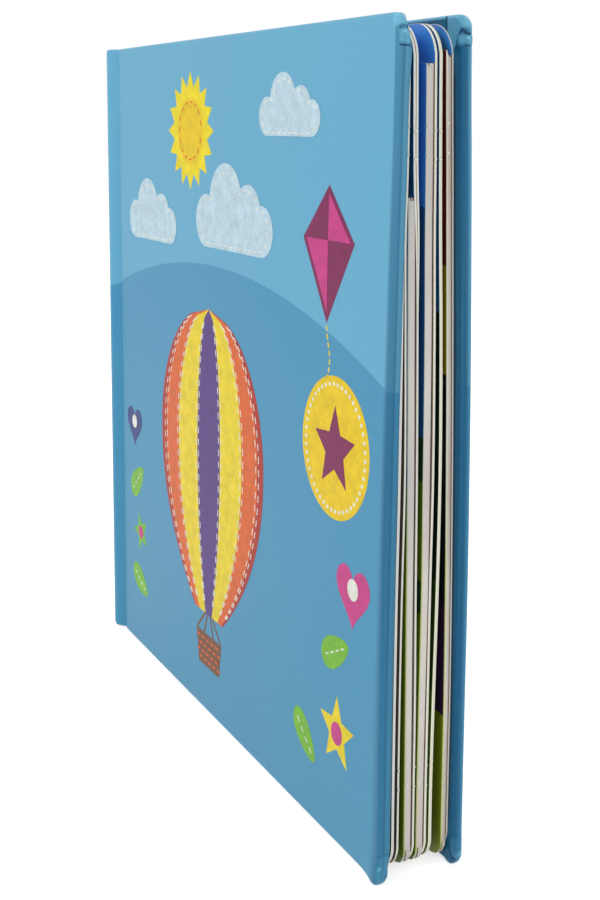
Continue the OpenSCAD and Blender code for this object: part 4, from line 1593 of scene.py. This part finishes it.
def flap_material(name, edge, printed, top):
    g = Graph(name)
    spot, u, v, w = g.place()
    streak = g.noise(spot, 1, 3, stretch=(60.0, 26.0, 900.0))
    slow = g.noise(spot, 30, 2)
    pale = g.mix(g.span(streak, 0.35, 0.7), srgb(*edge), srgb(228, 223, 214))
    pale = g.mix(g.span(slow, 0.35, 0.7, 0.0, 0.4), pale, srgb(206, 196, 192))
    fold_u = fold_x - crease_x
    tail_edge = g.span(v, 0.090, 0.070)
    rim_line = g.math("MULTIPLY", g.span(u, (fold_u - 0.42) * MM, (fold_u - 0.36) * MM),
                      g.span(u, (fold_u - 0.02) * MM, (fold_u - 0.12) * MM))
    pale = g.mix(rim_line, pale, g.mix(tail_edge, srgb(236, 236, 220), srgb(206, 214, 130)))
    pale = g.mix(g.span(v, (top - 0.34) * MM, (top - 0.26) * MM), pale, srgb(244, 242, 236))
    face = g.span(g.math("ABSOLUTE", g.math("SUBTRACT", w, 0.5)), 0.36, 0.42)
    flat = g.math("SUBTRACT", 1.0, g.span(u, (fold_u - 0.40) * MM, (fold_u - 0.34) * MM))
    behind = g.span(u, (fold_u + 0.30) * MM, (fold_u + 0.38) * MM)
    print_share = g.math("MULTIPLY", face, flat)
    colour = g.mix(print_share, pale, bands(g, u, v, spot, printed, (235, 235, 225)))
    # The faces of the ply behind the fold are brown.
    colour = g.mix(g.math("MULTIPLY", face, behind), colour, srgb(150, 132, 110))
    g.bump(g.noise(spot, 1400, 3), 0.10, 0.0003)
    return g.finish(colour, 0.5, coat=0.05, coat_rough=0.3)


for name, edge, spread in (("flap_1", (206, 202, 198), 3), ("flap_2", (208, 200, 192), 4),
                           ("flap_3", (204, 192, 172), 6)):
    give(flaps[name], flap_material(f"folded_card_{name}", edge, SPREADS[spread],
                                    box_mm(name)[1][2]))
    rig.slot(flaps[name], "flap_card")

# %% Greyboard and pop-up card


def greyboard_material():
    g = Graph("greyboard")
    spot = g.place()[0]
    flake = g.noise(spot, 900, 4, 0.7)
    colour = g.mix(g.span(flake, 0.35, 0.7), srgb(128, 120, 106), srgb(176, 168, 152))
    g.bump(flake, 0.3, 0.0004)
    return g.finish(colour, 0.85)


def popup_material(name, rgb):
    g = Graph(name)
    spot = g.place()[0]
    grain = g.noise(spot, 1200, 3)
    ringed = g.node("ShaderNodeTexWave", wave_type="RINGS")
    g.put(ringed.inputs["Vector"], spot)
    ringed.inputs["Scale"].default_value = 22
    ringed.inputs["Distortion"].default_value = 1.5
    colour = g.mix(g.span(ringed.outputs["Fac"], 0.45, 0.55, 0.0, 0.35), srgb(*rgb),
                   tone(rgb, 1.25))
    colour = g.mix(g.span(grain, 0.4, 0.7, 0.0, 0.2), colour, tone(rgb, 0.8))
    g.bump(grain, 0.1, 0.0003)
    return g.finish(colour, 0.42, coat=0.12, coat_rough=0.25)


grey = greyboard_material()
for piece in (*boards.values(), frame["nodes"]["spine_board"]):
    give(piece, grey)
for piece in boards.values():
    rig.slot(piece, "greyboard")
for name, ink, rgb in (("popup_1", "popup_orange", (244, 158, 52)),
                       ("popup_2", "popup_green", (92, 158, 52)),
                       ("popup_3", "popup_red", (198, 52, 56)),
                       ("popup_4", "popup_olive", (136, 148, 30))):
    give(popups[name], popup_material(ink + "_card", rgb))
    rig.slot(popups[name], ink)
print("materials:", len(bpy.data.materials))

# %% [markdown]
# ## Floor, light and camera
#
# The book stands on a white sweep under soft studio light. The white behind it comes from
# the world, seen by the camera and by reflections only, and the floor keeps the book's
# shadow. The camera stands close to the fore-edge and a little above the middle, which
# makes the strong perspective, and the small upward shift is the photograph's framing.

# %% Floor
FLOOR_HALF = 6.0


def floor_material():
    g = Graph("white_sweep")
    light = g.node("ShaderNodeLightPath")
    geometry = g.node("ShaderNodeNewGeometry")
    speck = g.noise(geometry.outputs["Position"], 40, 2)
    g.put(g.shader.inputs["Base Color"], g.mix(g.span(speck, 0.3, 0.7), srgb(243, 243, 243),
                                               srgb(247, 247, 247)))
    g.shader.inputs["Roughness"].default_value = 0.9
    g.shader.inputs["Specular IOR Level"].default_value = 0.1
    seen = g.math("MAXIMUM", light.outputs["Is Camera Ray"], light.outputs["Is Glossy Ray"])
    g.shader.inputs["Emission Color"].default_value = (1, 1, 1, 1)
    g.put(g.shader.inputs["Emission Strength"], g.math("MULTIPLY", seen, 0.62))
    return g.mat


low_points = [min(v.co.z for v in p.data.vertices) for p in (case_front, case_back)]
floor_z = min(low_points) - 0.00005
floor_mesh = bpy.data.meshes.new("floor")
sheet_bm = bmesh.new()
bmesh.ops.create_grid(sheet_bm, x_segments=8, y_segments=8, size=FLOOR_HALF)
sheet_bm.to_mesh(floor_mesh)
sheet_bm.free()
floor = bpy.data.objects.new("floor", floor_mesh)
floor.location = (0, 0, floor_z)
bpy.context.scene.collection.objects.link(floor)
floor.data.materials.append(floor_material())
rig.stage(floor)

# %% World and lamps
WORLD_LIGHT = 0.52
world = bpy.data.worlds.new("studio")
bpy.context.scene.world = world
world.use_nodes = True
wt = world.node_tree
background = wt.nodes["Background"]
background.inputs["Color"].default_value = (1, 1, 1, 1)
paths = wt.nodes.new("ShaderNodeLightPath")
seen = wt.nodes.new("ShaderNodeMath")
seen.operation = "MAXIMUM"
wt.links.new(paths.outputs["Is Camera Ray"], seen.inputs[0])
wt.links.new(paths.outputs["Is Glossy Ray"], seen.inputs[1])
clear = wt.nodes.new("ShaderNodeMath")
clear.operation = "MAXIMUM"
wt.links.new(seen.outputs[0], clear.inputs[0])
wt.links.new(paths.outputs["Is Transmission Ray"], clear.inputs[1])
level = wt.nodes.new("ShaderNodeMapRange")
wt.links.new(clear.outputs[0], level.inputs["Value"])
level.inputs["To Min"].default_value = WORLD_LIGHT
level.inputs["To Max"].default_value = 1.0
wt.links.new(level.outputs[0], background.inputs["Strength"])


def soft_lamp(name, place_at, aim, size, power):
    data = bpy.data.lights.new(name, "AREA")
    data.shape = "DISK"
    data.size = size
    data.energy = power
    lamp = bpy.data.objects.new(name, data)
    lamp.location = place_at
    lamp.visible_camera = False
    lamp.rotation_euler = (Vector(aim) - Vector(place_at)).to_track_quat("-Z", "Y").to_euler()
    bpy.context.scene.collection.objects.link(lamp)
    return lamp


BOOK_MIDDLE = (0, 0, 0.1)
soft_lamp("key", (0.35, -1.5, 1.3), BOOK_MIDDLE, 1.2, 13)
soft_lamp("side", (1.6, -0.2, 0.9), BOOK_MIDDLE, 1.2, 6)
soft_lamp("fill", (-0.6, 1.6, 1.2), BOOK_MIDDLE, 1.4, 9)

# %% Camera
camera_data = bpy.data.cameras.new("camera")
camera = bpy.data.objects.new("camera", camera_data)
bpy.context.scene.collection.objects.link(camera)
bpy.context.scene.camera = camera
# The camera was fitted to the covers' corners in the photo, in its pixels.
FRAME_LONG, FOCAL_PX, LENS_CENTRE_Y = 900, 1400.25, 275.0
CAMERA_AT, AZIMUTH, PITCH = (0.35457, -0.15903, 0.17184), 63.99, 6.285
camera_data.sensor_width = 36
camera_data.lens = FOCAL_PX * camera_data.sensor_width / FRAME_LONG
camera_data.shift_y = -(FRAME_LONG / 2 - LENS_CENTRE_Y) / FRAME_LONG
camera_data.clip_start = 0.01
azimuth, pitch = math.radians(AZIMUTH), math.radians(PITCH)
back = Vector((math.sin(azimuth) * math.cos(pitch), -math.cos(azimuth) * math.cos(pitch),
               math.sin(pitch)))
camera.location = CAMERA_AT
camera.rotation_euler = (-back).to_track_quat("-Z", "Y").to_euler()
bpy.context.scene.view_settings.view_transform = "Standard"
print("camera", [round(c, 3) for c in camera.location], "lens", round(camera_data.lens, 2))

# %% Write the sizes, and finish
new_low, new_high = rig.bounds()
with open("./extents.json", "w") as out:
    json.dump({"cad": [list(cad_low), list(cad_high)],
               "visual": [list(new_low), list(new_high)]}, out, indent=1)
print("visual box", [round(c / MM, 2) for c in new_low], [round(c / MM, 2) for c in new_high])
